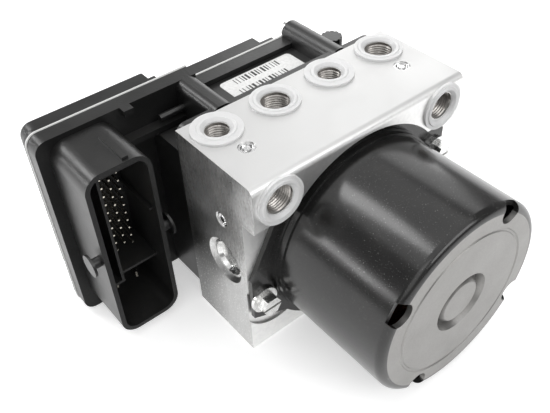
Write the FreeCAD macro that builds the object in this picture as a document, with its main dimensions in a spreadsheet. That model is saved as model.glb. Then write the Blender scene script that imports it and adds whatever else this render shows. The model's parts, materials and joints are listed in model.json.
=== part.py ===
import FreeCAD, Part
import math
import os
from types import SimpleNamespace

import Sketcher

# Anti-lock brake modulator: machined valve block, pump motor on its front, controller on its back.
# Millimetres. The origin is the centre of the block's underside. +Z is up, the motor points to -Y,
# the controller to +Y, and X runs along the row of pipe ports.

# Driving sizes of the valve block
BLOCK_SIZES = {
    "block_width": 100.0,
    "block_height": 88.5,
    "block_thickness": 35.8,
    "nose_height": 19.4,
    "nose_step": 7.2,
    "nose_round": 2.6,
    "nose_foot_round": 1.2,
    "arch_clearance": 0.5,
    "small_port_radius": 4.46,
    "large_port_radius": 5.46,
    "port_depth": 13.0,
    "port_drill_radius": 2.0,
    "port_drill_depth": 4.0,
    "port_inset": 9.4,
    "inner_port_x": 13.1,
    "outer_port_x": 39.0,
    "front_port_drop": 9.3,
    "ring_radius": 9.5,
    "ring_flange": 1.0,
    "ring_lip_width": 2.1,
    "ring_thickness": 1.4,
    "ring_edge": 0.4,
    "ring_bore_gap": 0.3,
    "ring_bore_flare": 1.1,
    "plug_hole_radius": 3.2,
    "plug_hole_depth": 4.0,
    "plug_length": 3.6,
    "plug_rim": 0.8,
    "plug_groove": 0.8,
    "plug_dip": 0.7,
    "top_plug_x": 37.1,
    "top_plug_y": -5.9,
    "side_plug_y": -5.4,
    "side_plug_z": 62.8,
    "bracket_hole_radius": 2.5,
    "bracket_hole_depth": 12.0,
    "bracket_hole_x": 42.0,
    "ear_recess_radius": 15.4,
    "ear_recess_depth": 1.0,
    "ear_recess_x": 37.0,
    "ear_recess_drop": 16.1,
    "blind_hole_x": 45.5,
    "blind_hole_drop": 20.7,
    "blind_hole_radius": 2.0,
    "blind_hole_depth": 5.0,
    "thread_run_out": 1.0,
}

# Driving sizes of the pump and the accumulators inside the block
PUMP_SIZES = {
    "motor_height": 41.2,
    "pump_y": -4.6,
    "cam_chamber_radius": 14.0,
    "cam_chamber_depth": 20.0,
    "pump_bore_radius": 7.6,
    "pump_mouth_radius": 9.8,
    "pump_mouth_depth": 1.6,
    "pump_plug_radius": 8.2,
    "pump_plug_length": 6.5,
    "pump_plug_dish_radius": 6.4,
    "pump_plug_dish_depth": 1.6,
    "pump_plug_dish_flare": 0.8,
    "pump_piston_chamfer": 0.6,
    "pump_piston_radius": 4.0,
    "pump_piston_length": 17.0,
    "pump_cylinder_wall": 3.5,
    "pump_spring_radius": 2.9,
    "pump_spring_wire": 0.35,
    "pump_spring_turns": 3.0,
    "cam_throw": 0.95,
    "cam_radius": 6.0,
    "cam_width": 9.0,
    "cam_ring_radius": 9.0,
    "accumulator_x": 24.0,
    "accumulator_y": -6.0,
    "accumulator_bore_radius": 9.5,
    "accumulator_depth": 23.0,
    "accumulator_cap_thickness": 2.5,
    "accumulator_cap_inset": 0.4,
    "accumulator_cap_chamfer": 0.6,
    "accumulator_piston_height": 8.0,
    "accumulator_piston_wall": 2.0,
    "seal_groove_height": 4.4,
    "seal_groove_width": 1.2,
    "seal_groove_depth": 0.5,
    "accumulator_spring_radius": 6.2,
    "accumulator_spring_wire": 0.7,
    "accumulator_spring_turns": 3.0,
}

# Driving sizes of the motor
MOTOR_SIZES = {
    "motor_radius": 39.4,
    "motor_reach": 56.6,
    "can_wall": 2.0,
    "can_rim_round": 3.0,
    "flange_radius": 43.5,
    "flange_thickness": 2.0,
    "flange_foot": 0.5,
    "base_ring_radius": 40.5,
    "base_ring_height": 4.6,
    "neck_ring_radius": 40.1,
    "neck_ring_height": 7.2,
    "ear_radius": 9.5,
    "ear_inner_radius": 39.0,
    "ear_screw_x": 44.8,
    "ear_screw_rise": 12.0,
    "ear_trim": 0.6,
    "notch_circle_radius": 36.6,
    "notch_radius": 4.7,
    "notch_depth": 3.0,
    "face_ring_radius": 29.6,
    "face_ring_width": 1.5,
    "face_ring_depth": 0.4,
    "dish_radius": 12.2,
    "dish_floor_radius": 10.8,
    "dish_depth": 2.8,
    "hub_radius": 8.3,
    "hub_inset": 0.6,
    "rear_cup_wall": 6.0,
    "rear_cup_length": 8.5,
    "rear_cup_floor": 3.6,
    "rear_bearing_radius": 8.0,
    "rear_bearing_width": 5.0,
    "front_bearing_radius": 11.0,
    "front_bearing_width": 7.0,
    "shaft_radius": 4.0,
    "end_plate_thickness": 3.0,
    "end_plate_spigot": 5.0,
    "end_plate_bore_gap": 2.0,
    "race_share": 0.28,
    "race_dip": 0.5,
    "core_radius": 31.0,
    "core_length": 24.0,
    "core_slots": 8.0,
    "core_slot_radius": 3.0,
    "core_slot_circle": 25.0,
    "winding_radius": 28.5,
    "winding_inner_radius": 17.0,
    "winding_bulge": 3.6,
    "magnet_length": 30.0,
    "magnet_thickness": 4.4,
    "magnet_arc": 72.0,
    "commutator_radius": 10.0,
    "commutator_length": 9.0,
    "brush_width": 5.0,
    "brush_length": 11.0,
    "brush_plate_thickness": 2.0,
    "brush_plate_bore_gap": 2.0,
    "brush_box_wall": 1.2,
    "brush_box_start": 2.5,
    "brush_box_length": 12.5,
    "brush_box_lap": 1.0,
    "screw_radius": 2.5,
    "screw_length": 12.0,
    "screw_washer_radius": 5.6,
    "screw_washer_thickness": 1.3,
    "screw_head_radius": 4.3,
    "screw_head_height": 4.4,
    "screw_slot_width": 1.1,
    "screw_slot_depth": 1.2,
}

# Driving sizes of the valves and the controller
CONTROLLER_SIZES = {
    "valve_x": 11.0,
    "valve_pitch": 22.0,
    "valve_low_z": 20.0,
    "valve_high_z": 62.0,
    "valve_radius": 5.4,
    "valve_nose": 2.0,
    "valve_nose_taper": 1.2,
    "valve_seat_depth": 12.6,
    "valve_collar_radius": 6.6,
    "valve_collar": 1.4,
    "valve_collar_taper": 0.8,
    "valve_dome_radius": 3.2,
    "valve_dome_length": 19.5,
    "valve_dome_round": 1.0,
    "coil_radius": 8.5,
    "coil_waist": 7.3,
    "coil_length": 15.5,
    "coil_flange": 1.6,
    "box_left": 46.0,
    "box_right": 46.0,
    "box_foot": 1.6,
    "box_top_drop": 8.5,
    "box_shoulder_drop": 15.5,
    "box_wall": 2.0,
    "collar_drop": 1.5,
    "collar_reach": 1.6,
    "collar_depth": 3.6,
    "collar_round": 4.0,
    "gasket_thickness": 0.6,
    "gasket_inset": 1.0,
    "tray_left": 91.5,
    "tray_right": 33.2,
    "tray_top_drop": 0.3,
    "tray_mid_drop": 6.2,
    "tray_front": 25.4,
    "tray_floor_thickness": 2.6,
    "tray_back": 32.9,
    "tray_wall": 2.4,
    "tray_round": 5.0,
    "tray_bead": 0.3,
    "tray_bead_height": 0.7,
    "tray_tab_x": 55.4,
    "tray_tab_width": 4.0,
    "tray_tab_height": 2.4,
    "tray_tab_reach": 3.4,
    "ledge_drop": 12.7,
    "ledge_thickness": 2.4,
    "ledge_reach": 4.8,
    "bush_x": 43.8,
    "bush_drop": 9.9,
    "bush_radius": 1.5,
    "bush_setback": 1.6,
    "arm_round": 3.2,
    "arm_seat": 29.4,
    "pillar_back": 32.0,
    "pillar_x": 28.6,
    "pillar_radius": 4.6,
    "pillar_foot_z": 4.8,
    "pillar_web": 1.2,
    "pillar_front": 1.6,
    "long_screw_radius": 2.4,
    "long_screw_grip": 9.0,
    "long_screw_head_radius": 3.8,
    "long_screw_head_height": 3.0,
    "long_screw_washer": 1.0,
    "long_screw_washer_lip": 0.9,
    "connector_left": 87.0,
    "connector_width": 26.1,
    "connector_foot": 4.7,
    "connector_height": 81.4,
    "connector_wall": 1.9,
    "connector_round": 7.0,
    "connector_rim": 0.2,
    "keel_x": 78.9,
    "keel_z": 29.6,
    "keel_thickness": 1.1,
    "keel_inset": 8.0,
    "shelf_drop": 4.4,
    "roof_drop": 2.6,
    "roof_inset": 3.0,
    "side_rib_z": 58.0,
    "side_rib_reach": 1.4,
    "stud_y": 4.2,
    "stud_radius": 2.1,
    "stud_reach": 4.3,
    "stud_head_radius": 4.6,
    "stud_head": 1.0,
    "stud_root": 0.5,
    "top_rib_x": 69.8,
    "top_rib_width": 2.4,
    "top_rib_height": 1.2,
    "top_rib_length": 16.0,
    "top_rib_setback": 1.0,
    "top_rib_root": 1.0,
    "pin_size": 0.64,
    "pin_tip": 14.5,
    "pin_pitch": 4.0,
    "pin_rows": 10.0,
    "pin_start_z": 35.0,
    "pin_column_x": 82.6,
    "pin_field_x": 75.6,
    "pin_column_pitch": 3.4,
    "blade_size": 2.8,
    "blade_thickness": 0.8,
    "blade_z": 17.0,
    "blade_left_x": 79.6,
    "blade_right_x": 70.6,
    "board_thickness": 1.6,
    "board_gap": 1.0,
    "chip_height": 1.5,
    "large_chip": 20.0,
    "large_chip_x": 35.0,
    "large_chip_z": 42.0,
    "small_chip": 14.0,
    "small_chip_x": 1.0,
    "small_chip_z": 47.0,
    "cover_rim": 2.0,
    "cover_reach": 10.4,
    "cover_wall": 2.0,
    "cover_inset": 1.6,
    "cover_edge_round": 1.6,
    "cover_step_z": 17.0,
    "cover_notch": 3.4,
    "cover_pan_right": 16.0,
    "label_left": 15.7,
    "label_right": 19.9,
    "label_front": 11.2,
    "label_back": 23.4,
    "label_round": 1.8,
    "label_thickness": 0.2,
    "vent_x": 38.6,
    "vent_y": 17.0,
    "vent_radius": 4.4,
    "vent_height": 10.4,
    "vent_ribs": 12.0,
    "vent_groove_radius": 0.5,
    "motor_lead_rise": 28.8,
    "motor_lead_radius": 3.6,
    "motor_lead_pin": 0.8,
    "motor_lead_stub": 2.0,
}

# Clearances that every fit shares
FIT_SIZES = {
    "seat_gap": 0.05,
    "running_gap": 0.05,
    "free_gap": 0.3,
}

SIZES = {**BLOCK_SIZES, **PUMP_SIZES, **MOTOR_SIZES, **CONTROLLER_SIZES, **FIT_SIZES}

os.makedirs("parts", exist_ok=True)
doc = FreeCAD.newDocument("brake_modulator")
sheet = doc.addObject("Spreadsheet::Sheet", "Sizes")
nodes = []


class Size:
    """A length, as a formula on the sheet's cells together with its present value."""

    def __init__(self, text, value):
        self.text = text
        self.value = value

    def __add__(self, other):
        other = as_size(other)
        return Size(f"({self.text} + {other.text})", self.value + other.value)

    def __sub__(self, other):
        other = as_size(other)
        return Size(f"({self.text} - {other.text})", self.value - other.value)

    def __mul__(self, other):
        other = as_size(other)
        return Size(f"({self.text} * {other.text})", self.value * other.value)

    def __truediv__(self, other):
        other = as_size(other)
        return Size(f"({self.text} / {other.text})", self.value / other.value)

    def __neg__(self):
        return Size(f"(0 - {self.text})", -self.value)

    def __radd__(self, other):
        return as_size(other) + self

    def __rsub__(self, other):
        return as_size(other) - self

    def __rmul__(self, other):
        return as_size(other) * self

    def root(self):
        return Size(f"sqrt({self.text})", self.value ** 0.5)


def as_size(number):
    """A plain number in the form that formulas use."""
    if isinstance(number, Size):
        return number
    return Size(f"{number}", float(number))


def fill_sheet():
    """Write the driving sizes to the sheet and return them by name."""
    for row, (name, value) in enumerate(SIZES.items(), start=1):
        sheet.set(f"A{row}", name)
        sheet.set(f"B{row}", f"{value}")
        sheet.setAlias(f"B{row}", name)
    doc.recompute()
    return SimpleNamespace(**{name: Size(f"Sizes.{name}", value) for name, value in SIZES.items()})


d = fill_sheet()

# Planes that many pieces share
BACK = d.block_thickness / 2
FRONT = -BACK
NOSE_FRONT = FRONT - d.nose_step
MOTOR_END = FRONT - d.motor_reach
PORT_Y = BACK - d.port_inset
FRONT_PORT_Z = d.block_height - d.front_port_drop
ARCH_RADIUS = d.flange_radius + d.arch_clearance
TRAY_TOP = d.block_height - d.tray_top_drop
TRAY_MID_TOP = d.block_height - d.tray_mid_drop
BOX_TOP = d.block_height - d.box_top_drop
BOX_SHOULDER = d.block_height - d.box_shoulder_drop
COLLAR_TOP = d.block_height - d.collar_drop
PILLAR_TOP_Z = TRAY_TOP - d.pillar_radius
PILLAR_FRONT = BACK + d.pillar_front
PILLAR_BACK = BACK + d.pillar_back
TRAY_FRONT = BACK + d.tray_front
TRAY_BACK = BACK + d.tray_back
GASKET_BACK = BACK + d.gasket_thickness
BOX_BACK = TRAY_FRONT + d.tray_floor_thickness
BOARD_FRONT = BOX_BACK + d.board_gap
CONNECTOR_RIGHT = d.connector_width - d.connector_left
CONNECTOR_TOP = d.connector_foot + d.connector_height
CONNECTOR_RIM = BACK - d.connector_rim

MOTOR_LEAD_Z = d.motor_height + d.motor_lead_rise

PLANES = {"XY": "XY_Plane", "XZ": "XZ_Plane", "YZ": "YZ_Plane"}


def bind(thing, path, size):
    """Tie one property of an object to a formula on the sheet."""
    thing.setExpression(path, as_size(size).text)


def place(thing, x=0, y=0, z=0):
    """Put a piece at a point whose coordinates follow the sheet."""
    for axis, size in zip("xyz", (x, y, z)):
        bind(thing, f"Placement.Base.{axis}", size)
    return thing


def keep(thing, name):
    """Name a finished piece and list it for writing."""
    thing.Label = name
    nodes.append(thing)
    return thing


def new_body(name):
    return doc.addObject("PartDesign::Body", name)


def origin_plane(body, plane):
    """One of the body's own three planes."""
    for feature in body.Origin.OriginFeatures:
        if feature.Role == PLANES[plane]:
            return feature
    raise RuntimeError("plane not found: " + plane)


def new_sketch(body, plane, level=0):
    """An empty sketch, parallel to one of the body's planes at a signed distance from it."""
    sketch = body.newObject("Sketcher::SketchObject", body.Name + "_sketch")
    sketch.AttachmentSupport = [(origin_plane(body, plane), "")]
    sketch.MapMode = "FlatFace"
    normal = -1 if plane == "XZ" else 1
    bind(sketch, "AttachmentOffset.Base.z", as_size(level) * normal)
    return sketch


def pin_point(sketch, element, end, u, v):
    """Hold one point of a sketch element at the given coordinates."""
    for kind, size in (("DistanceX", u), ("DistanceY", v)):
        size = as_size(size)
        index = sketch.addConstraint(Sketcher.Constraint(kind, -1, 1, element, end, size.value))
        sketch.setExpression(f"Constraints[{index}]", size.text)


def draw_outline(sketch, points):
    """A closed outline of straight lines through the given points."""
    corners = [FreeCAD.Vector(as_size(u).value, as_size(v).value, 0) for u, v in points]
    lines = []
    for start, end in zip(corners, corners[1:] + corners[:1]):
        lines.append(sketch.addGeometry(Part.LineSegment(start, end), False))
    for line, following in zip(lines, lines[1:] + lines[:1]):
        sketch.addConstraint(Sketcher.Constraint("Coincident", line, 2, following, 1))
    for line, (u, v) in zip(lines, points):
        pin_point(sketch, line, 1, u, v)


def draw_circle(sketch, u, v, radius):
    """A full circle about the given centre."""
    u, v, radius = as_size(u), as_size(v), as_size(radius)
    centre = FreeCAD.Vector(u.value, v.value, 0)
    circle = sketch.addGeometry(Part.Circle(centre, FreeCAD.Vector(0, 0, 1), radius.value), False)
    pin_point(sketch, circle, 3, u, v)
    index = sketch.addConstraint(Sketcher.Constraint("Radius", circle, radius.value))
    sketch.setExpression(f"Constraints[{index}]", radius.text)


def draw_rounded(sketch, left, foot, right, top, radius):
    """A rectangle with rounded corners: four lines joined by four quarter arcs."""
    left, foot, right, top, radius = (as_size(size) for size in (left, foot, right, top, radius))
    sides = [
        ((left + radius, foot), (right - radius, foot)),
        ((right, foot + radius), (right, top - radius)),
        ((right - radius, top), (left + radius, top)),
        ((left, top - radius), (left, foot + radius)),
    ]
    centres = [
        (right - radius, foot + radius),
        (right - radius, top - radius),
        (left + radius, top - radius),
        (left + radius, foot + radius),
    ]
    lines = []
    for start, end in sides:
        ends = [FreeCAD.Vector(u.value, v.value, 0) for u, v in (start, end)]
        line = sketch.addGeometry(Part.LineSegment(*ends), False)
        pin_point(sketch, line, 1, *start)
        pin_point(sketch, line, 2, *end)
        lines.append(line)
    quarter = math.pi / 2
    for corner, (u, v) in enumerate(centres):
        centre = FreeCAD.Vector(u.value, v.value, 0)
        circle = Part.Circle(centre, FreeCAD.Vector(0, 0, 1), radius.value)
        begin = (corner - 1) * quarter
        arc = sketch.addGeometry(Part.ArcOfCircle(circle, begin, begin + quarter), False)
        sketch.addConstraint(Sketcher.Constraint("Coincident", lines[corner], 2, arc, 1))
        sketch.addConstraint(Sketcher.Constraint("Coincident", arc, 2, lines[(corner + 1) % 4], 1))
        index = sketch.addConstraint(Sketcher.Constraint("DistanceX", -1, 1, arc, 3, u.value))
        sketch.setExpression(f"Constraints[{index}]", u.text)


def rectangle(left, foot, right, top):
    """The corners of a rectangle."""
    return [(left, foot), (right, foot), (right, top), (left, top)]


def square(u, v, size):
    """The corners of a square about a centre."""
    half = size / 2
    return rectangle(u - half, v - half, u + half, v + half)


def draw(sketch, shapes):
    """Draw outlines (lists of points), circles (u, v, radius) and rounded boxes (four sides, radius)."""
    for shape in shapes:
        if isinstance(shape, list):
            draw_outline(sketch, shape)
        elif len(shape) == 3:
            draw_circle(sketch, *shape)
        else:
            draw_rounded(sketch, *shape)


def add(body, plane, low, high, *shapes):
    """Fill the outlines from one level over a plane up to another."""
    sketch = new_sketch(body, plane, low)
    draw(sketch, shapes)
    pad = body.newObject("PartDesign::Pad", body.Name + "_pad")
    pad.Profile = sketch
    pad.Reversed = plane == "XZ"
    bind(pad, "Length", as_size(high) - low)
    return pad


def cut(body, plane, low, high, *shapes):
    """Remove the outlines from one level over a plane up to another."""
    sketch = new_sketch(body, plane, low)
    draw(sketch, shapes)
    pocket = body.newObject("PartDesign::Pocket", body.Name + "_pocket")
    pocket.Profile = sketch
    pocket.Reversed = plane != "XZ"
    bind(pocket, "Length", as_size(high) - low)
    return pocket


def turn(body, axis, points, groove=False):
    """Turn an outline of (along, radius) points about the body's X, Y or Z axis."""
    plane = "XZ" if axis == "Z" else "XY"
    sketch = new_sketch(body, plane)
    if axis == "X":
        draw_outline(sketch, points)
    else:
        draw_outline(sketch, [(radius, along) for along, radius in points])
    kind = "PartDesign::Groove" if groove else "PartDesign::Revolution"
    turned = body.newObject(kind, body.Name + "_turn")
    turned.Profile = sketch
    turned.ReferenceAxis = (sketch, ["H_Axis" if axis == "X" else "V_Axis"])
    turned.Angle = 360
    return turned


def ring_repeat(body, features, axis, count):
    """Repeat features evenly round one of the body's axes."""
    doc.recompute()
    pattern = body.newObject("PartDesign::PolarPattern", body.Name + "_pattern")
    pattern.Originals = features
    for feature in body.Origin.OriginFeatures:
        if feature.Role == axis + "_Axis":
            pattern.Axis = (feature, [""])
    pattern.Angle = 360
    bind(pattern, "Occurrences", count)
    body.Tip = pattern
    return pattern


def dress(body, kind, size, wanted):
    """Round or chamfer the edges of the body that pass the test."""
    doc.recompute()
    base = body.Tip
    names = [f"Edge{i}" for i, edge in enumerate(base.Shape.Edges, start=1) if wanted(edge)]
    if not names:
        raise RuntimeError("no edge found to dress on " + body.Name)
    feature = body.newObject("PartDesign::" + kind, body.Name + "_" + kind.lower())
    feature.Base = (base, names)
    bind(feature, "Radius" if kind == "Fillet" else "Size", size)
    return feature


def straight(edge, axis):
    """Whether an edge is a straight line along X, Y or Z."""
    if not isinstance(edge.Curve, Part.Line):
        return False
    run = edge.Vertexes[-1].Point - edge.Vertexes[0].Point
    return abs(run["xyz".index(axis)]) > run.Length - 1e-6


def at(edge, **where):
    """Whether the middle of an edge's box lies at the given coordinates."""
    centre = edge.BoundBox.Center
    return all(abs(getattr(centre, axis) - as_size(size).value) < 1e-4 for axis, size in where.items())


def circle_edge(edge, radius):
    """Whether an edge is a whole circle of the given radius."""
    return isinstance(edge.Curve, Part.Circle) and edge.isClosed() \
        and abs(edge.Curve.Radius - as_size(radius).value) < 1e-4


def cylinder(name, radius, length, angle=360):
    """A round bar, or a wedge of it, that stands on the XY plane."""
    bar = doc.addObject("Part::Cylinder", name)
    bind(bar, "Radius", radius)
    bind(bar, "Height", length)
    bind(bar, "Angle", angle)
    return bar


def along_y(thing, turn_degrees=0):
    """Lay a piece that stands on Z along +Y, after turning it about its own axis."""
    lay = FreeCAD.Rotation(FreeCAD.Vector(1, 0, 0), -90)
    spin = FreeCAD.Rotation(FreeCAD.Vector(0, 0, 1), turn_degrees)
    thing.Placement = FreeCAD.Placement(FreeCAD.Vector(0, 0, 0), lay * spin)
    return thing


def subtract(name, base, tool):
    """The base with the tool taken out."""
    result = doc.addObject("Part::Cut", name)
    result.Base = base
    result.Tool = tool
    return result


def group(name, pieces):
    """Several separate solids that are kept under one name."""
    result = doc.addObject("Part::Compound", name)
    result.Links = pieces
    return keep(result, name)


# Valve block

TOP_PORTS = [
    (-d.outer_port_x, d.small_port_radius),
    (-d.inner_port_x, d.large_port_radius),
    (d.inner_port_x, d.small_port_radius),
    (d.outer_port_x, d.large_port_radius),
]
VALVE_COLUMNS = [-d.valve_x - d.valve_pitch, -d.valve_x, d.valve_x, d.valve_x + d.valve_pitch]
VALVE_ROWS = [d.valve_low_z, d.valve_high_z]
MOTOR_SCREWS = [
    (-d.ear_screw_x, d.motor_height - d.ear_screw_rise),
    (d.ear_screw_x, d.motor_height + d.ear_screw_rise),
]
LONG_SCREWS = [(x, z) for x in (-d.pillar_x, d.pillar_x) for z in (d.pillar_foot_z, PILLAR_TOP_Z)]
ARM_SCREW = LONG_SCREWS[1]


def valve_block():
    """Extruded bar with the machined nose, the motor arch, and every bore that holds a piece."""
    body = new_body("valve_block")
    half = d.block_width / 2
    nose_foot = d.block_height - d.nose_height
    profile = [
        (BACK, 0),
        (BACK, d.block_height),
        (NOSE_FRONT, d.block_height),
        (NOSE_FRONT, nose_foot),
        (FRONT, nose_foot),
        (FRONT, 0),
    ]
    add(body, "YZ", -half, half, profile)
    dress(body, "Fillet", d.nose_round,
          lambda e: straight(e, "x") and at(e, y=NOSE_FRONT, z=d.block_height))
    dress(body, "Fillet", d.nose_foot_round,
          lambda e: straight(e, "x") and at(e, y=NOSE_FRONT, z=nose_foot))
    cut(body, "XZ", NOSE_FRONT, FRONT, (0, d.motor_height, ARCH_RADIUS))
    recess_z = d.motor_height - d.ear_recess_drop
    far_recess_z = d.motor_height + d.ear_recess_drop
    recess_floor = FRONT + d.ear_recess_depth
    cut(body, "XZ", FRONT, recess_floor, (-d.ear_recess_x, recess_z, d.ear_recess_radius))
    cut(body, "XZ", FRONT, recess_floor, (d.ear_recess_x, far_recess_z, d.ear_recess_radius))
    cut(body, "XZ", recess_floor, recess_floor + d.blind_hole_depth,
        (-d.blind_hole_x, d.motor_height - d.blind_hole_drop, d.blind_hole_radius))
    port_bores(body, half)
    pump_bores(body, half)
    cut_back_face(body)
    cut_underside(body)
    return keep(body, "valve_block")


def port_bores(body, half):
    """Tapped pipe ports in the top and the nose, and the holes of the gallery plugs."""
    top = d.block_height
    foot = top - d.port_depth
    cut(body, "XY", foot, top, *[(x, PORT_Y, radius) for x, radius in TOP_PORTS])
    cut(body, "XY", foot - d.port_drill_depth, foot,
        *[(x, PORT_Y, d.port_drill_radius) for x, radius in TOP_PORTS])
    front_ports = [(side * d.outer_port_x, FRONT_PORT_Z, d.large_port_radius) for side in (-1, 1)]
    front_floor = NOSE_FRONT + d.port_depth
    cut(body, "XZ", NOSE_FRONT, front_floor, *front_ports)
    cut(body, "XZ", front_floor, front_floor + d.port_drill_depth,
        *[(x, z, d.port_drill_radius) for x, z, radius in front_ports])
    cut(body, "XY", top - d.plug_hole_depth, top,
        *[(side * d.top_plug_x, d.top_plug_y, d.plug_hole_radius) for side in (-1, 1)])
    side_plug = (d.side_plug_y, d.side_plug_z, d.plug_hole_radius)
    cut(body, "YZ", -half, d.plug_hole_depth - half, side_plug)
    cut(body, "YZ", half - d.plug_hole_depth, half, side_plug)


def pump_bores(body, half):
    """Cross bore for the two pump elements and the chamber for the cam."""
    bore = (d.pump_y, d.motor_height, d.pump_bore_radius)
    cut(body, "YZ", -half, half, bore)
    seat = (d.pump_y, d.motor_height, d.pump_plug_radius + d.seat_gap)
    seat_depth = d.pump_mouth_depth + d.pump_plug_length
    cut(body, "YZ", -half, seat_depth - half, seat)
    cut(body, "YZ", half - seat_depth, half, seat)
    pump_mouths(body, half)
    cut(body, "XZ", FRONT, FRONT + d.cam_chamber_depth, (0, d.motor_height, d.cam_chamber_radius))


def pump_mouths(body, half):
    """Flared mouths round the pump plugs: a chamfer on each plug seat's outer edge."""
    doc.recompute()
    dress(body, "Chamfer", d.pump_mouth_radius - d.pump_plug_radius - d.seat_gap,
          lambda e: circle_edge(e, d.pump_plug_radius + d.seat_gap)
          and abs(abs(e.BoundBox.Center.x) - half.value) < 1e-4)


def cut_back_face(body):
    """Valve seats, tapped holes for the controller's screws and the motor lead's bore."""
    seats = [(x, z, d.valve_radius + d.seat_gap) for x in VALVE_COLUMNS for z in VALVE_ROWS]
    cut(body, "XZ", BACK - d.valve_seat_depth, BACK, *seats)
    screws = [(x, z, d.long_screw_radius + d.seat_gap) for x, z in LONG_SCREWS]
    cut(body, "XZ", BACK - d.long_screw_grip - d.thread_run_out, BACK, *screws)
    cut(body, "XZ", FRONT, BACK, (0, MOTOR_LEAD_Z, d.motor_lead_radius + d.seat_gap))
    ear_holes = [(x, z, d.screw_radius + d.seat_gap) for x, z in MOTOR_SCREWS]
    cut(body, "XZ", FRONT, FRONT + d.screw_length + d.thread_run_out, *ear_holes)


def cut_underside(body):
    """Accumulator bores and the two tapped bracket holes."""
    bores = [(side * d.accumulator_x, d.accumulator_y, d.accumulator_bore_radius) for side in (-1, 1)]
    cut(body, "XY", 0, d.accumulator_depth, *bores)
    holes = [(side * d.bracket_hole_x, 0, d.bracket_hole_radius) for side in (-1, 1)]
    cut(body, "XY", 0, d.bracket_hole_depth, *holes)


def port_ring(name, port_radius, facing):
    """Stepped plastic ring round a pipe port, modelled on the axis it faces along."""
    body = new_body(name)
    thick = d.ring_thickness
    bore = port_radius + d.ring_bore_gap
    lip = bore + d.ring_lip_width
    sign = 1 if facing == "Z" else -1
    turn(body, facing, [
        (0, bore),
        (0, d.ring_radius),
        (sign * d.ring_flange, d.ring_radius),
        (sign * d.ring_flange, lip + d.ring_edge),
        (sign * thick, lip),
        (sign * thick, bore + d.ring_bore_flare),
        (sign * (thick - d.ring_bore_flare), bore),
    ])
    return keep(body, name)


def port_rings():
    for number, (x, radius) in enumerate(TOP_PORTS, start=1):
        place(port_ring(f"top_port_ring_{number}", radius, "Z"), x, PORT_Y, d.block_height)
    for side, name in ((-1, "left"), (1, "right")):
        ring = port_ring(f"front_port_ring_{name}", d.large_port_radius, "Y")
        place(ring, side * d.outer_port_x, NOSE_FRONT, FRONT_PORT_Z)


def gallery_plugs():
    """Pressed plugs with a staked groove that close the drilled galleries."""
    reach = d.plug_hole_depth - d.plug_length
    half = d.block_width / 2
    spots = [
        ("Z", 1, (side * d.top_plug_x, d.top_plug_y, d.block_height - reach)) for side in (-1, 1)
    ]
    spots += [("X", side, (side * (half - reach), d.side_plug_y, d.side_plug_z)) for side in (-1, 1)]
    outer = d.plug_hole_radius - d.seat_gap
    rim = outer - d.plug_rim
    middle = rim - d.plug_groove
    plugs = []
    for axis, sign, spot in spots:
        body = new_body("gallery_plug")
        turn(body, axis, [
            (-sign * d.plug_length, 0),
            (-sign * d.plug_length, outer),
            (0, outer),
            (0, rim),
            (-sign * d.plug_dip, rim),
            (-sign * d.plug_dip, middle),
            (0, middle - d.plug_dip / 2),
            (0, 0),
        ])
        plugs.append(place(body, *spot))
    group("gallery_plugs", plugs)


# Pump and accumulators inside the block

PUMP_INNER = d.cam_ring_radius + d.cam_throw + d.running_gap
CYLINDER_INNER = d.cam_chamber_radius + d.free_gap
PLUG_INNER = d.block_width / 2 - d.pump_mouth_depth - d.pump_plug_length
CYLINDER_OUTER = PLUG_INNER - d.seat_gap


def pump_piston(name, side):
    """Piston of one pump element at its outer dead centre, clear of the cam."""
    body = new_body(name)
    turn(body, "X", [
        (side * PUMP_INNER, 0),
        (side * PUMP_INNER, d.pump_piston_radius - d.pump_piston_chamfer),
        (side * (PUMP_INNER + d.pump_piston_chamfer), d.pump_piston_radius),
        (side * (PUMP_INNER + d.pump_piston_length), d.pump_piston_radius),
        (side * (PUMP_INNER + d.pump_piston_length), 0),
    ])
    place(body, 0, d.pump_y, d.motor_height)
    return keep(body, name)


def pump_cylinder(name, side):
    """Cylinder of one pump element, closed at its outer end."""
    body = new_body(name)
    outer = d.pump_bore_radius - d.seat_gap
    bore = d.pump_piston_radius + d.running_gap
    floor = CYLINDER_OUTER - d.pump_cylinder_wall
    turn(body, "X", [
        (side * CYLINDER_INNER, bore),
        (side * CYLINDER_INNER, outer),
        (side * CYLINDER_OUTER, outer),
        (side * CYLINDER_OUTER, 0),
        (side * floor, 0),
        (side * floor, bore),
    ])
    place(body, 0, d.pump_y, d.motor_height)
    return keep(body, name)


def pump_plug(name, side):
    """Pressed plug with a dished outer face that closes the pump bore."""
    body = new_body(name)
    outer = d.block_width / 2 - d.pump_mouth_depth
    turn(body, "X", [
        (side * PLUG_INNER, 0),
        (side * PLUG_INNER, d.pump_plug_radius),
        (side * outer, d.pump_plug_radius),
        (side * outer, d.pump_plug_dish_radius + d.pump_plug_dish_flare),
        (side * (outer - d.pump_plug_dish_depth), d.pump_plug_dish_radius),
        (side * (outer - d.pump_plug_dish_depth), 0),
    ])
    place(body, 0, d.pump_y, d.motor_height)
    return keep(body, name)


def coil_spring(name, axis, radius, wire, length, turns):
    """Round wire wound along an axis, from the body's origin upwards."""
    body = new_body(name)
    plane = "XZ" if axis == "Z" else "XY"
    sketch = new_sketch(body, plane)
    if axis == "X":
        draw_circle(sketch, wire, radius, wire)
    else:
        draw_circle(sketch, radius, wire, wire)
    helix = body.newObject("PartDesign::AdditiveHelix", body.Name + "_coil")
    helix.Profile = sketch
    helix.ReferenceAxis = (sketch, ["H_Axis" if axis == "X" else "V_Axis"])
    helix.Mode = "height-turns-angle"
    bind(helix, "Height", length - wire * 2)
    bind(helix, "Turns", turns)
    return keep(body, name)


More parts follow.
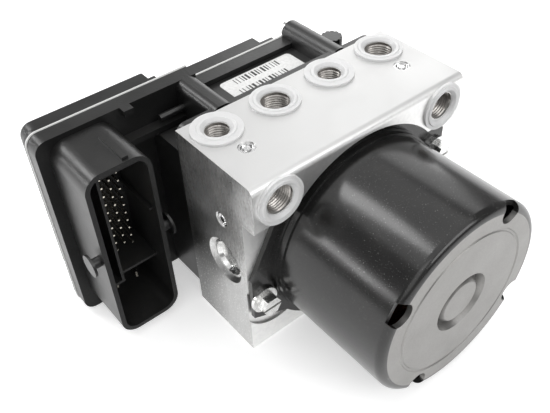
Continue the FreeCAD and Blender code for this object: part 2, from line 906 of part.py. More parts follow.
def pump_spring(name, side):
    """Return spring between the piston's outer end and the cylinder's floor."""
    start = PUMP_INNER + d.pump_piston_length
    length = CYLINDER_OUTER - d.pump_cylinder_wall - start
    spring = coil_spring(name, "X", d.pump_spring_radius, d.pump_spring_wire, length, d.pump_spring_turns)
    x = start if side > 0 else -start - length
    place(spring, x, d.pump_y, d.motor_height)


def accumulator_cap(name, side):
    """Pressed cap that closes the accumulator bore from below."""
    body = new_body(name)
    radius = d.accumulator_bore_radius - d.seat_gap
    foot = d.accumulator_cap_inset
    turn(body, "Z", [
        (foot, 0),
        (foot, radius - d.accumulator_cap_chamfer),
        (foot + d.accumulator_cap_chamfer, radius),
        (foot + d.accumulator_cap_thickness, radius),
        (foot + d.accumulator_cap_thickness, 0),
    ])
    place(body, side * d.accumulator_x, d.accumulator_y, 0)
    return keep(body, name)


ACCUMULATOR_CAP_TOP = d.accumulator_cap_inset + d.accumulator_cap_thickness
ACCUMULATOR_TOP = d.accumulator_depth - d.free_gap
ACCUMULATOR_SPRING_SEAT = ACCUMULATOR_TOP - d.accumulator_piston_wall


def accumulator_piston(name, side):
    """Cup piston at the top of its bore, open towards the spring below it."""
    body = new_body(name)
    radius = d.accumulator_bore_radius - d.running_gap
    foot = ACCUMULATOR_TOP - d.accumulator_piston_height
    groove_foot = foot + d.seal_groove_height
    groove_top = groove_foot + d.seal_groove_width
    turn(body, "Z", [
        (foot, radius - d.accumulator_piston_wall),
        (foot, radius),
        (groove_foot, radius),
        (groove_foot, radius - d.seal_groove_depth),
        (groove_top, radius - d.seal_groove_depth),
        (groove_top, radius),
        (ACCUMULATOR_TOP, radius),
        (ACCUMULATOR_TOP, 0),
        (ACCUMULATOR_SPRING_SEAT, 0),
        (ACCUMULATOR_SPRING_SEAT, radius - d.accumulator_piston_wall),
    ])
    place(body, side * d.accumulator_x, d.accumulator_y, 0)
    return keep(body, name)


def accumulator_spring(name, side):
    """Spring from the cap up to the piston's crown."""
    length = ACCUMULATOR_SPRING_SEAT - ACCUMULATOR_CAP_TOP
    spring = coil_spring(name, "Z", d.accumulator_spring_radius, d.accumulator_spring_wire,
                         length, d.accumulator_spring_turns)
    place(spring, side * d.accumulator_x, d.accumulator_y, ACCUMULATOR_CAP_TOP)


# Motor

HALF_ROOT_THREE = 3 ** 0.5 / 2


def tangent_ends(tip, tip_radius, radius, side):
    """Where the tangent on one side of two circles touches the one about (0, 0) and the one at tip."""
    du, dv = tip
    span = (du * du + dv * dv).root()
    lean = (radius - tip_radius) / span
    spread = (1 - lean * lean).root()
    across = (lean * du - side * spread * dv) / span
    upward = (lean * dv + side * spread * du) / span
    return (radius * across, radius * upward), (du + tip_radius * across, dv + tip_radius * upward)


def ear_plate(tip, tip_radius, wide, narrow):
    """The plate from the middle to an ear, tangent to a wide circle on one side and a narrow one."""
    wide_foot, wide_tip = tangent_ends(tip, tip_radius, wide, -1)
    narrow_foot, narrow_tip = tangent_ends(tip, tip_radius, narrow, 1)
    return [wide_foot, wide_tip, narrow_tip, narrow_foot]


def motor_can():
    """Deep-drawn can with its stepped base, eared flange, rim notches and dished end face."""
    body = new_body("motor_can")
    end = MOTOR_END
    inner = d.motor_radius - d.can_wall
    ring_in = d.face_ring_radius - d.face_ring_width / 2
    ring_out = d.face_ring_radius + d.face_ring_width / 2
    cup_out = d.rear_bearing_radius + d.seat_gap + d.rear_cup_wall
    turn(body, "Y", [
        (FRONT, inner),
        (FRONT, d.flange_radius),
        (FRONT - d.flange_thickness, d.flange_radius),
        (FRONT - d.flange_thickness, d.base_ring_radius),
        (FRONT - d.base_ring_height, d.base_ring_radius),
        (FRONT - d.base_ring_height, d.neck_ring_radius),
        (FRONT - d.neck_ring_height, d.neck_ring_radius),
        (FRONT - d.neck_ring_height, d.motor_radius),
        (end, d.motor_radius),
        (end, ring_out),
        (end + d.face_ring_depth, ring_out - d.face_ring_depth),
        (end + d.face_ring_depth, ring_in + d.face_ring_depth),
        (end, ring_in),
        (end, d.dish_radius),
        (end + d.dish_depth, d.dish_floor_radius),
        (end + d.hub_inset, d.hub_radius),
        (end + d.hub_inset, 0),
        (end + d.rear_cup_floor, 0),
        (end + d.rear_cup_floor, d.rear_bearing_radius + d.seat_gap),
        (end + d.rear_cup_length, d.rear_bearing_radius + d.seat_gap),
        (end + d.rear_cup_length, cup_out),
        (end + d.can_wall, cup_out),
        (end + d.can_wall, inner),
    ])
    dress(body, "Fillet", d.can_rim_round, lambda e: circle_edge(e, d.motor_radius) and at(e, y=end))
    flange_ears(body)
    rim_notches(body)
    place(body, 0, 0, d.motor_height)
    return keep(body, "motor_can")


def flange_ears(body):
    """Two ears on a diagonal, trimmed flush with the block's sides and drilled for the screws."""
    ear_face = FRONT - d.flange_thickness
    trim = d.block_width / 2 - d.ear_trim
    reach = d.ear_radius * 2
    for side in (-1, 1):
        tip = (side * d.ear_screw_x, side * d.ear_screw_rise)
        plate = ear_plate(tip, d.ear_radius, d.flange_radius, d.ear_inner_radius)
        add(body, "XZ", ear_face, FRONT, plate)
        add(body, "XZ", ear_face, FRONT, (tip[0], tip[1], d.ear_radius))
        low, high = (trim, trim + reach) if side > 0 else (-trim - reach, -trim)
        cut(body, "XZ", ear_face, FRONT, rectangle(low, tip[1] - reach, high, tip[1] + reach))
        cut(body, "XZ", ear_face, FRONT, (tip[0], tip[1], d.screw_radius + d.free_gap))
    cut(body, "XZ", ear_face, FRONT, (0, 0, d.motor_radius - d.can_wall))
    foot = d.flange_foot - d.motor_height
    cut(body, "XZ", ear_face, FRONT, rectangle(-trim, foot - reach, trim, foot))


def rim_notches(body):
    """Four staking notches in the rim of the end face."""
    notch = cut(body, "XZ", MOTOR_END, MOTOR_END + d.notch_depth,
                (d.notch_circle_radius / 2, d.notch_circle_radius * HALF_ROOT_THREE, d.notch_radius))
    ring_repeat(body, [notch], "Y", 4)


def motor_screws():
    """Flanged screws with a six-sided slotted head that hold the motor's ears."""
    face = FRONT - d.flange_thickness
    washer = face - d.screw_washer_thickness
    head = washer - d.screw_head_height
    wide = d.screw_head_radius
    flat = wide * HALF_ROOT_THREE
    hexagon = [
        (wide, 0),
        (wide / 2, flat),
        (-wide / 2, flat),
        (-wide, 0),
        (-wide / 2, -flat),
        (wide / 2, -flat),
    ]
    screws = []
    for x, z in MOTOR_SCREWS:
        body = new_body("motor_screw")
        add(body, "XZ", face, FRONT + d.screw_length, (0, 0, d.screw_radius))
        add(body, "XZ", washer, face, (0, 0, d.screw_washer_radius))
        add(body, "XZ", head, washer, hexagon)
        slot = d.screw_slot_width / 2
        cut(body, "XZ", head, head + d.screw_slot_depth, rectangle(-wide, -slot, wide, slot))
        screws.append(place(body, x, 0, z))
    group("motor_screws", screws)


def motor_end_plate():
    """Plate that closes the can and centres the motor in the block's chamber."""
    body = new_body("motor_end_plate")
    plate_back = FRONT - d.end_plate_thickness
    spigot = d.cam_chamber_radius - d.seat_gap
    bearing = d.front_bearing_radius + d.seat_gap
    tip = FRONT + d.end_plate_spigot
    turn(body, "Y", [
        (plate_back, d.shaft_radius + d.end_plate_bore_gap),
        (plate_back, d.motor_radius - d.can_wall - d.seat_gap),
        (FRONT - d.seat_gap, d.motor_radius - d.can_wall - d.seat_gap),
        (FRONT - d.seat_gap, spigot),
        (tip, spigot),
        (tip, bearing),
        (tip - d.front_bearing_width, bearing),
        (tip - d.front_bearing_width, d.shaft_radius + d.end_plate_bore_gap),
    ])
    lead = d.motor_lead_rise
    cut(body, "XZ", plate_back, FRONT, (0, lead, d.motor_lead_radius + d.seat_gap))
    place(body, 0, 0, d.motor_height)
    return keep(body, "motor_end_plate")


def bearing(name, outer, width, back):
    """Ball bearing, kept as one sealed ring."""
    body = new_body(name)
    bore = d.shaft_radius + d.running_gap
    shoulder = (outer - bore) * d.race_share
    turn(body, "Y", [
        (back, bore),
        (back, bore + shoulder),
        (back + d.race_dip, bore + shoulder),
        (back + d.race_dip, outer - shoulder),
        (back, outer - shoulder),
        (back, outer),
        (back + width, outer),
        (back + width, bore),
    ])
    place(body, 0, 0, d.motor_height)
    return keep(body, name)


SHAFT_BACK = MOTOR_END + d.rear_cup_floor + d.free_gap
CORE_BACK = MOTOR_END + d.rear_cup_length + d.winding_bulge + d.free_gap
CORE_FRONT = CORE_BACK + d.core_length
COMMUTATOR_BACK = CORE_FRONT + d.winding_bulge + d.free_gap
COMMUTATOR_FRONT = COMMUTATOR_BACK + d.commutator_length
CAM_BACK = d.pump_y - d.cam_width / 2


def motor_shaft():
    """Steel shaft with the off-centre journal that drives the pump pistons."""
    body = new_body("motor_shaft")
    cam_front = CAM_BACK + d.cam_width
    add(body, "XZ", SHAFT_BACK, CAM_BACK, (0, 0, d.shaft_radius))
    add(body, "XZ", CAM_BACK, cam_front, (0, d.cam_throw, d.cam_radius))
    place(body, 0, 0, d.motor_height)
    return keep(body, "motor_shaft")


def cam_bearing():
    """Needle bearing ring on the off-centre journal."""
    body = new_body("cam_bearing")
    add(body, "XZ", CAM_BACK, CAM_BACK + d.cam_width,
        (0, d.cam_throw, d.cam_ring_radius),
        (0, d.cam_throw, d.cam_radius + d.seat_gap))
    place(body, 0, 0, d.motor_height)
    return keep(body, "cam_bearing")


def armature_core():
    """Laminated stack with its winding slots, pressed on the shaft."""
    body = new_body("armature_core")
    add(body, "XZ", CORE_BACK, CORE_FRONT, (0, 0, d.core_radius), (0, 0, d.shaft_radius + d.seat_gap))
    slot = cut(body, "XZ", CORE_BACK, CORE_FRONT, (d.core_slot_circle, 0, d.core_slot_radius))
    ring_repeat(body, [slot], "Y", d.core_slots)
    place(body, 0, 0, d.motor_height)
    return keep(body, "armature_core")


def armature_windings():
    """Copper windings: a bundle in each slot and a bulging ring at both ends."""
    body = new_body("armature_windings")
    ring = [(0, 0, d.winding_radius), (0, 0, d.winding_inner_radius)]
    add(body, "XZ", CORE_BACK - d.winding_bulge, CORE_BACK, *ring)
    bar = add(body, "XZ", CORE_BACK, CORE_FRONT, (d.core_slot_circle, 0, d.core_slot_radius - d.seat_gap))
    ring_repeat(body, [bar], "Y", d.core_slots)
    add(body, "XZ", CORE_FRONT, CORE_FRONT + d.winding_bulge, *ring)
    place(body, 0, 0, d.motor_height)
    return keep(body, "armature_windings")


def commutator():
    """Copper segments that the brushes press on."""
    body = new_body("commutator")
    add(body, "XZ", COMMUTATOR_BACK, COMMUTATOR_FRONT,
        (0, 0, d.commutator_radius), (0, 0, d.shaft_radius + d.seat_gap))
    place(body, 0, 0, d.motor_height)
    return keep(body, "commutator")


def magnets():
    """Four curved magnets on the inside of the can."""
    outer = d.motor_radius - d.can_wall - d.seat_gap
    inner = outer - d.magnet_thickness
    arcs = []
    back = CORE_BACK - (d.magnet_length - d.core_length) / 2
    margin = (90 - d.magnet_arc.value) / 2
    for quarter in range(4):
        shell = cylinder("magnet_outside", outer, d.magnet_length, d.magnet_arc)
        core = cylinder("magnet_inside", inner, d.magnet_length)
        arc = along_y(subtract("magnet", shell, core), quarter * 90 + margin)
        arcs.append(place(arc, 0, back, d.motor_height))
    group("motor_magnets", arcs)


BRUSH_BACK = COMMUTATOR_BACK + (d.commutator_length - d.brush_width) / 2
BRUSH_INNER = d.commutator_radius + d.free_gap


def brush_holder():
    """Moulded plate with two open boxes that guide the carbon brushes."""
    body = new_body("brush_holder")
    plate_front = BRUSH_BACK + d.brush_width + d.seat_gap + d.brush_plate_thickness
    plate_back = plate_front - d.brush_plate_thickness
    outer = d.motor_radius - d.can_wall - d.seat_gap
    bore = d.commutator_radius + d.brush_plate_bore_gap
    add(body, "XZ", plate_back, plate_front, (0, 0, outer), (0, 0, bore))
    wall = d.brush_box_wall
    side_in = d.brush_width / 2 + d.seat_gap
    near = BRUSH_INNER + d.brush_box_start
    far = near + d.brush_box_length
    for side in (-1, 1):
        ends = sorted((side * near, side * far), key=lambda size: size.value)
        for low, high in ((-side_in - wall, -side_in), (side_in, side_in + wall)):
            add(body, "XZ", BRUSH_BACK - d.brush_box_lap, plate_back, rectangle(ends[0], low, ends[1], high))
    lead = d.motor_lead_rise
    cut(body, "XZ", plate_back, plate_front, (0, lead, d.motor_lead_radius + d.seat_gap))
    place(body, 0, 0, d.motor_height)
    return keep(body, "brush_holder")


def carbon_brushes():
    """Two carbon blocks that ride on the commutator."""
    blocks = []
    for side in (-1, 1):
        block = doc.addObject("Part::Box", "carbon_brush")
        bind(block, "Length", d.brush_length)
        bind(block, "Width", d.brush_width)
        bind(block, "Height", d.brush_width)
        x = BRUSH_INNER if side > 0 else -BRUSH_INNER - d.brush_length
        blocks.append(place(block, x, BRUSH_BACK, d.motor_height - d.brush_width / 2))
    group("carbon_brushes", blocks)


def motor_lead():
    """Insulated contact stem that takes current from the controller through the block."""
    body = new_body("motor_lead")
    back = BRUSH_BACK + d.brush_width + d.seat_gap
    stub = BACK + d.motor_lead_stub
    add(body, "XZ", back, stub, (0, 0, d.motor_lead_radius))
    pin = d.motor_lead_pin
    offset = d.motor_lead_radius / 2
    add(body, "XZ", stub, TRAY_FRONT,
        rectangle(-offset - pin / 2, -pin, -offset + pin / 2, pin),
        rectangle(offset - pin / 2, -pin, offset + pin / 2, pin))
    place(body, 0, 0, MOTOR_LEAD_Z)
    return keep(body, "motor_lead")


# Valves and controller

def valve_cartridge(name, x, z):
    """Sealed solenoid valve: seat, staked collar and the armature's dome."""
    body = new_body(name)
    collar = BACK + d.valve_collar
    tip = collar + d.valve_dome_length
    foot = BACK - d.valve_seat_depth
    turn(body, "Y", [
        (foot, 0),
        (foot, d.valve_radius - d.valve_nose_taper),
        (foot + d.valve_nose, d.valve_radius),
        (BACK, d.valve_radius),
        (BACK, d.valve_collar_radius),
        (collar, d.valve_collar_radius - d.valve_collar_taper),
        (collar, d.valve_dome_radius),
        (tip - d.valve_dome_round, d.valve_dome_radius),
        (tip, d.valve_dome_radius - d.valve_dome_round),
        (tip, 0),
    ])
    place(body, x, 0, z)
    return keep(body, name)


def valve_coil(name, x, z):
    """Wound bobbin that slips over a valve's dome."""
    body = new_body(name)
    back = BACK + d.valve_collar + d.free_gap
    front = back + d.coil_length
    bore = d.valve_dome_radius + d.seat_gap
    turn(body, "Y", [
        (back, bore),
        (back, d.coil_radius),
        (back + d.coil_flange, d.coil_radius),
        (back + d.coil_flange, d.coil_waist),
        (front - d.coil_flange, d.coil_waist),
        (front - d.coil_flange, d.coil_radius),
        (front, d.coil_radius),
        (front, bore),
    ])
    place(body, x, 0, z)
    return keep(body, name)


def valves():
    """Four inlet valves in the upper row, four outlet valves in the lower, each with its coil."""
    for z, kind in zip(VALVE_ROWS, ("outlet", "inlet")):
        for number, x in enumerate(VALVE_COLUMNS, start=1):
            valve_cartridge(f"{kind}_valve_{number}", x, z)
            valve_coil(f"{kind}_coil_{number}", x, z)


def box_outline(inset=0):
    """Front view of the coil box: wide over the coils, narrower above the upper row."""
    low = d.box_foot + inset
    shoulder = BOX_SHOULDER - inset
    top = BOX_TOP - inset
    left = -d.box_left + inset
    right = d.box_right - inset
    near = d.pillar_x + d.pillar_radius - inset
    return [
        (left, low),
        (right, low),
        (right, shoulder),
        (near, shoulder),
        (near, top),
        (-near, top),
        (-near, shoulder),
        (left, shoulder),
    ]


def collar_sides(inset=0):
    """The four sides of the collar's rectangle."""
    reach = d.collar_reach - inset
    return -d.box_left - reach, d.box_foot - reach, d.box_right + reach, COLLAR_TOP - inset


def controller_gasket():
    """Flat seal between the block's back face and the controller's collar."""
    body = new_body("controller_gasket")
    add(body, "XZ", BACK, GASKET_BACK, rectangle(*collar_sides(d.gasket_inset)))
    cut(body, "XZ", BACK, GASKET_BACK, box_outline(d.box_wall))
    screws = [(x, z, d.long_screw_radius + d.free_gap) for x, z in LONG_SCREWS]
    cut(body, "XZ", BACK, GASKET_BACK, *screws)
    return keep(body, "controller_gasket")


def tray_outline(inset=0):
    """Front view of the tray: tall at the connector side, lower between the screw pillars."""
    left = -d.tray_left + inset
    right = d.tray_right - inset
    step = -d.pillar_x + d.pillar_radius - inset
    return [
        (left, as_size(inset)),
        (right, as_size(inset)),
        (right, TRAY_MID_TOP - inset),
        (step, TRAY_MID_TOP - inset),
        (step, TRAY_TOP - inset),
        (left, TRAY_TOP - inset),
    ]


def controller_housing():
    """One moulding: coil box with its collar, the board tray, the screw pillars and the plug socket."""
    body = new_body("controller_housing")
    coil_box(body)
    board_tray(body)
    tray_details(body)
    screw_pillars(body)
    plug_socket(body)
    return keep(body, "controller_housing")


def coil_box(body):
    """Box over the coils, with the collar that seals on the block."""
    add(body, "XZ", GASKET_BACK, GASKET_BACK + d.collar_depth, (*collar_sides(), d.collar_round))
    add(body, "XZ", GASKET_BACK, BOX_BACK, box_outline())
    cut(body, "XZ", GASKET_BACK, TRAY_FRONT, box_outline(d.box_wall))


def round_tray_corners(body, inset, middle):
    """Round the two outer corners on the connector side of the layer whose middle is given."""
    left = -d.tray_left + inset
    corners = [(left, as_size(inset)), (left, TRAY_TOP - inset)]
    dress(body, "Fillet", d.tray_round,
          lambda e: straight(e, "y") and any(at(e, x=x, y=middle, z=z) for x, z in corners))


def board_tray(body):
    """Tray for the circuit board, open to the back, with a bead along its joint with the cover."""
    bead = TRAY_BACK - d.tray_bead_height
    add(body, "XZ", TRAY_FRONT, TRAY_BACK, tray_outline())
    round_tray_corners(body, 0, (TRAY_FRONT + TRAY_BACK) / 2)
    add(body, "XZ", bead, TRAY_BACK, tray_outline(-d.tray_bead))
    round_tray_corners(body, -d.tray_bead, (bead + TRAY_BACK) / 2)
    cut(body, "XZ", BOX_BACK, TRAY_BACK, cover_outline(d.tray_wall))


def tray_details(body):
    """Latch tab, ledge and blind bush on the tray's front, between the socket and the arm."""
    tab = d.tray_tab_width / 2
    add(body, "XZ", TRAY_FRONT - d.tray_tab_reach, TRAY_FRONT,
        rectangle(-d.tray_tab_x - tab, TRAY_TOP - d.tray_tab_height, -d.tray_tab_x + tab, TRAY_TOP))
    arm_left = -d.pillar_x - d.pillar_radius
    ledge = d.block_height - d.ledge_drop
    add(body, "XZ", TRAY_FRONT - d.ledge_reach, TRAY_FRONT,
        rectangle(CONNECTOR_RIGHT - d.connector_wall, ledge - d.ledge_thickness, arm_left, ledge))
    bush_y = TRAY_FRONT - d.bush_setback - d.bush_radius
    add(body, "YZ", -d.bush_x, arm_left + d.arm_round,
        (bush_y, d.block_height - d.bush_drop, d.bush_radius))


def screw_pillars(body):
    """Three tubes and one square arm for the long screws that clamp the controller to the block."""
    for x, z in LONG_SCREWS:
        if (x, z) != ARM_SCREW:
            add(body, "XZ", PILLAR_FRONT, PILLAR_BACK, (x, z, d.pillar_radius))
    x, z = ARM_SCREW
    half = d.pillar_radius
    add(body, "XZ", PILLAR_FRONT, TRAY_BACK,
        (x - half, BOX_TOP - d.arm_round, x + half, TRAY_TOP, d.arm_round))
    seats = [(x, z, d.long_screw_head_radius + d.free_gap) for x, z in LONG_SCREWS]
    cut(body, "XZ", PILLAR_BACK, TRAY_BACK, *seats)
    cut(body, "XZ", BACK + d.arm_seat, PILLAR_BACK, seats[1])
    bores = [(x, z, d.long_screw_radius + d.free_gap) for x, z in LONG_SCREWS]
    cut(body, "XZ", GASKET_BACK, PILLAR_BACK, *bores)
    web_left = d.pillar_x - d.pillar_radius
    add(body, "XZ", PILLAR_FRONT, TRAY_FRONT,
        rectangle(web_left, BOX_TOP - d.box_wall, web_left + d.pillar_web, PILLAR_TOP_Z))


def plug_socket(body):
    """Oblong plug shell with its dividing walls, lever studs and guide rib."""
    left = -d.connector_left
    add(body, "XZ", CONNECTOR_RIM, TRAY_FRONT,
        (left, d.connector_foot, CONNECTOR_RIGHT, CONNECTOR_TOP, d.connector_round))
    wall = d.connector_wall
    cut(body, "XZ", CONNECTOR_RIM, TRAY_FRONT,
        (left + wall, d.connector_foot + wall, CONNECTOR_RIGHT - wall, CONNECTOR_TOP - wall,
         d.connector_round - wall))
    socket_walls(body, wall)
    lever_studs(body)
    rib = d.top_rib_width / 2
    rib_front = CONNECTOR_RIM + d.top_rib_setback
    rib_foot = CONNECTOR_TOP - d.top_rib_root
    add(body, "XZ", rib_front, rib_front + d.top_rib_length,
        rectangle(-d.top_rib_x - rib, rib_foot, -d.top_rib_x + rib, CONNECTOR_TOP + d.top_rib_height))


def socket_walls(body, wall):
    """Inner walls: beside the first pin column, over the power blades, and the two coding ribs."""
    left = -d.connector_left + wall
    right = CONNECTOR_RIGHT - wall
    keel = d.keel_thickness / 2
    front = CONNECTOR_RIM + d.keel_inset
    top = CONNECTOR_TOP - wall
    add(body, "XZ", front, TRAY_FRONT, rectangle(-d.keel_x - keel, d.keel_z, -d.keel_x + keel, top))
    add(body, "XZ", front, TRAY_FRONT, rectangle(-d.keel_x - keel, d.keel_z - keel, right, d.keel_z + keel))
    low = d.keel_z - d.shelf_drop
    add(body, "XZ", front, TRAY_FRONT, rectangle(left, low - keel, -d.keel_x + keel, low + keel))
    add(body, "XZ", front, TRAY_FRONT, rectangle(-d.keel_x - keel, low - keel, -d.keel_x + keel, d.keel_z))
    roof = top - d.roof_drop
    add(body, "XZ", CONNECTOR_RIM + d.roof_inset, TRAY_FRONT,
        rectangle(left, roof - keel, right, roof + keel))
    rib = d.side_rib_z
    add(body, "XZ", CONNECTOR_RIM + d.roof_inset, TRAY_FRONT,
        rectangle(right - d.side_rib_reach, rib - keel, right, rib + keel))


def lever_studs(body):
    """Headed studs on both sides of the socket, where the plug's locking lever turns."""
    y = BACK + d.stud_y
    z = d.connector_foot + d.connector_height / 2
    neck = d.stud_reach - d.stud_head
    left = -d.connector_left
    right = CONNECTOR_RIGHT
    add(body, "YZ", left - neck, left + d.stud_root, (y, z, d.stud_radius))
    add(body, "YZ", left - d.stud_reach, left - neck, (y, z, d.stud_head_radius))
    add(body, "YZ", right - d.stud_root, right + neck, (y, z, d.stud_radius))
    add(body, "YZ", right + neck, right + d.stud_reach, (y, z, d.stud_head_radius))


def connector_pins():
    """Straight pins moulded in the socket's floor, in four columns, with two power blades below."""
    pins = []
    columns = [(-d.pin_column_x, 0)]
    for column in range(3):
        columns.append((-d.pin_field_x + d.pin_column_pitch * column, column % 2))
    for x, stagger in columns:
        for row in range(int(d.pin_rows.value)):
            z = d.pin_start_z + d.pin_pitch * (row + stagger * 0.5)
            pins.append(pin_box(x, z, d.pin_size, d.pin_size))
    for x in (d.blade_left_x, d.blade_right_x):
        pins.append(pin_box(-x, d.blade_z, d.blade_thickness, d.blade_size))
    group("connector_pins", pins)


def pin_box(x, z, wide, tall):
    """One straight pin or blade from the circuit board to its tip in the socket."""
    pin = doc.addObject("Part::Box", "connector_pin")
    tip = BACK + d.pin_tip
    bind(pin, "Length", wide)
    bind(pin, "Width", BOARD_FRONT - tip)
    bind(pin, "Height", tall)
    return place(pin, x - wide / 2, tip, z - tall / 2)


def circuit_board():
    """Board with its main chips, in the tray's chamber."""
    body = new_body("circuit_board")
    back = BOARD_FRONT + d.board_thickness
    add(body, "XZ", BOARD_FRONT, back, cover_outline(d.tray_wall + d.free_gap))
    chips = [(-d.large_chip_x, d.large_chip_z, d.large_chip), (-d.small_chip_x, d.small_chip_z, d.small_chip)]
    add(body, "XZ", back, back + d.chip_height, *[square(x, z, size) for x, z, size in chips])
    return keep(body, "circuit_board")


def cover_outline(inset=0):
    """Front view of the cover: the tray's outline with a notch round each screw pillar."""
    left = -d.tray_left + inset
    right = d.tray_right - inset
    notch = d.pillar_radius + d.cover_notch + inset
    near = [-d.pillar_x - notch, -d.pillar_x + notch, d.pillar_x - notch]
    low = d.pillar_foot_z + notch
    high = PILLAR_TOP_Z - notch
    top = TRAY_TOP - inset
    middle = TRAY_MID_TOP - inset
    return [
        (left, as_size(inset)),
        (near[0], as_size(inset)),
        (near[0], low),
        (near[1], low),
        (near[1], as_size(inset)),
        (near[2], as_size(inset)),
        (near[2], low),
        (right, low),
        (right, high),
        (near[2], high),
        (near[2], middle),
        (near[1], middle),
        (near[1], high),
        (near[0], high),
        (near[0], top),
        (left, top),
    ]


def controller_cover():
    """Shallow pan that closes the tray, notched round the screw pillars, with a raised field."""
    body = new_body("controller_cover")
    rim = TRAY_BACK + d.cover_rim
    outer = TRAY_BACK + d.cover_reach
    add(body, "XZ", TRAY_BACK, rim, cover_outline())
    round_tray_corners(body, 0, (TRAY_BACK + rim) / 2)
    add(body, "XZ", rim, outer, cover_outline(d.cover_inset))
    round_tray_corners(body, d.cover_inset, (rim + outer) / 2)
    foot = d.cover_step_z
    shallow = PILLAR_TOP_Z - d.pillar_radius - d.cover_notch - d.cover_inset
    cut(body, "XZ", rim, outer, rectangle(-d.tray_left, 0, d.tray_right, foot))
    cut(body, "XZ", rim, outer, rectangle(d.cover_pan_right, shallow, d.tray_right, TRAY_TOP))
    dress(body, "Fillet", d.cover_edge_round, lambda e: at(e, y=outer))
    wall = d.cover_wall + d.cover_inset
    cut(body, "XZ", TRAY_BACK, outer - d.cover_wall,
        rectangle(-d.tray_left + wall, foot + d.cover_wall, d.tray_right - wall, shallow - d.cover_wall))
    return keep(body, "controller_cover")


def controller_screws():
    """Four long screws with washer heads that pass through the controller into the block."""
    screws = []
    drive = d.long_screw_head_radius - d.long_screw_washer_lip
    for x, z in LONG_SCREWS:
        seat = BACK + d.arm_seat if (x, z) == ARM_SCREW else PILLAR_BACK
        body = new_body("long_screw")
        turn(body, "Y", [
            (BACK - d.long_screw_grip, 0),
            (BACK - d.long_screw_grip, d.long_screw_radius),
            (seat, d.long_screw_radius),
            (seat, d.long_screw_head_radius),
            (seat + d.long_screw_washer, d.long_screw_head_radius),
            (seat + d.long_screw_washer, drive),
            (seat + d.long_screw_head_height, drive),
            (seat + d.long_screw_head_height, 0),
        ])
        screws.append(place(body, x, 0, z))
    group("controller_screws", screws)


def label_plate():
    """Blank sticker with rounded corners on the coil box's top."""
    body = new_body("label_plate")
    add(body, "XY", BOX_TOP, BOX_TOP + d.label_thickness,
        (-d.label_left, BACK + d.label_front, d.label_right, BACK + d.label_back, d.label_round))
    return keep(body, "label_plate")


def vent_cap():
    """Ribbed breather cap on the coil box's right shoulder."""
    body = new_body("vent_cap")
    add(body, "XY", 0, d.vent_height, (0, 0, d.vent_radius))
    notch = cut(body, "XY", 0, d.vent_height, (d.vent_radius, 0, d.vent_groove_radius))
    ring_repeat(body, [notch], "Z", d.vent_ribs)
    place(body, d.vent_x, BACK + d.vent_y, BOX_SHOULDER)
    return keep(body, "vent_cap")


def build():
    """Make every piece of the module."""
    valve_block()
    port_rings()
    gallery_plugs()
    for side, name in ((-1, "left"), (1, "right")):
        pump_plug(f"pump_plug_{name}", side)
        pump_cylinder(f"pump_cylinder_{name}", side)
        pump_piston(f"pump_piston_{name}", side)
        pump_spring(f"pump_spring_{name}", side)
        accumulator_cap(f"accumulator_cap_{name}", side)
        accumulator_piston(f"accumulator_piston_{name}", side)
        accumulator_spring(f"accumulator_spring_{name}", side)
    motor_can()
    motor_screws()
    motor_end_plate()
    bearing("rear_bearing", d.rear_bearing_radius, d.rear_bearing_width, MOTOR_END + d.rear_cup_floor)
    bearing("front_bearing", d.front_bearing_radius, d.front_bearing_width,
            FRONT + d.end_plate_spigot - d.front_bearing_width)
    motor_shaft()
    cam_bearing()
    armature_core()
    armature_windings()
    commutator()
    magnets()
    brush_holder()
    carbon_brushes()
    motor_lead()
    valves()
    controller_gasket()
    controller_housing()
    circuit_board()
    connector_pins()
    controller_cover()
    controller_screws()
    label_plate()
    vent_cap()


def check_document():
    """Stop if any object failed or any finished piece has no valid shape."""
    doc.recompute()
    for thing in doc.Objects:
        if "Invalid" in thing.State or "Error" in thing.State:
            raise RuntimeError("failed object: " + thing.Name + " " + str(thing.State))
    for thing in nodes:
        if thing.Shape.isNull() or not thing.Shape.isValid():
            raise RuntimeError("bad shape: " + thing.Label)


def write_steps():
    for thing in nodes:
        thing.Shape.exportStep("parts/" + thing.Label + ".step")


build()
check_document()
write_steps()
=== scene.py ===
import json
import math

import bmesh
import bpy
from mathutils import Matrix, Vector


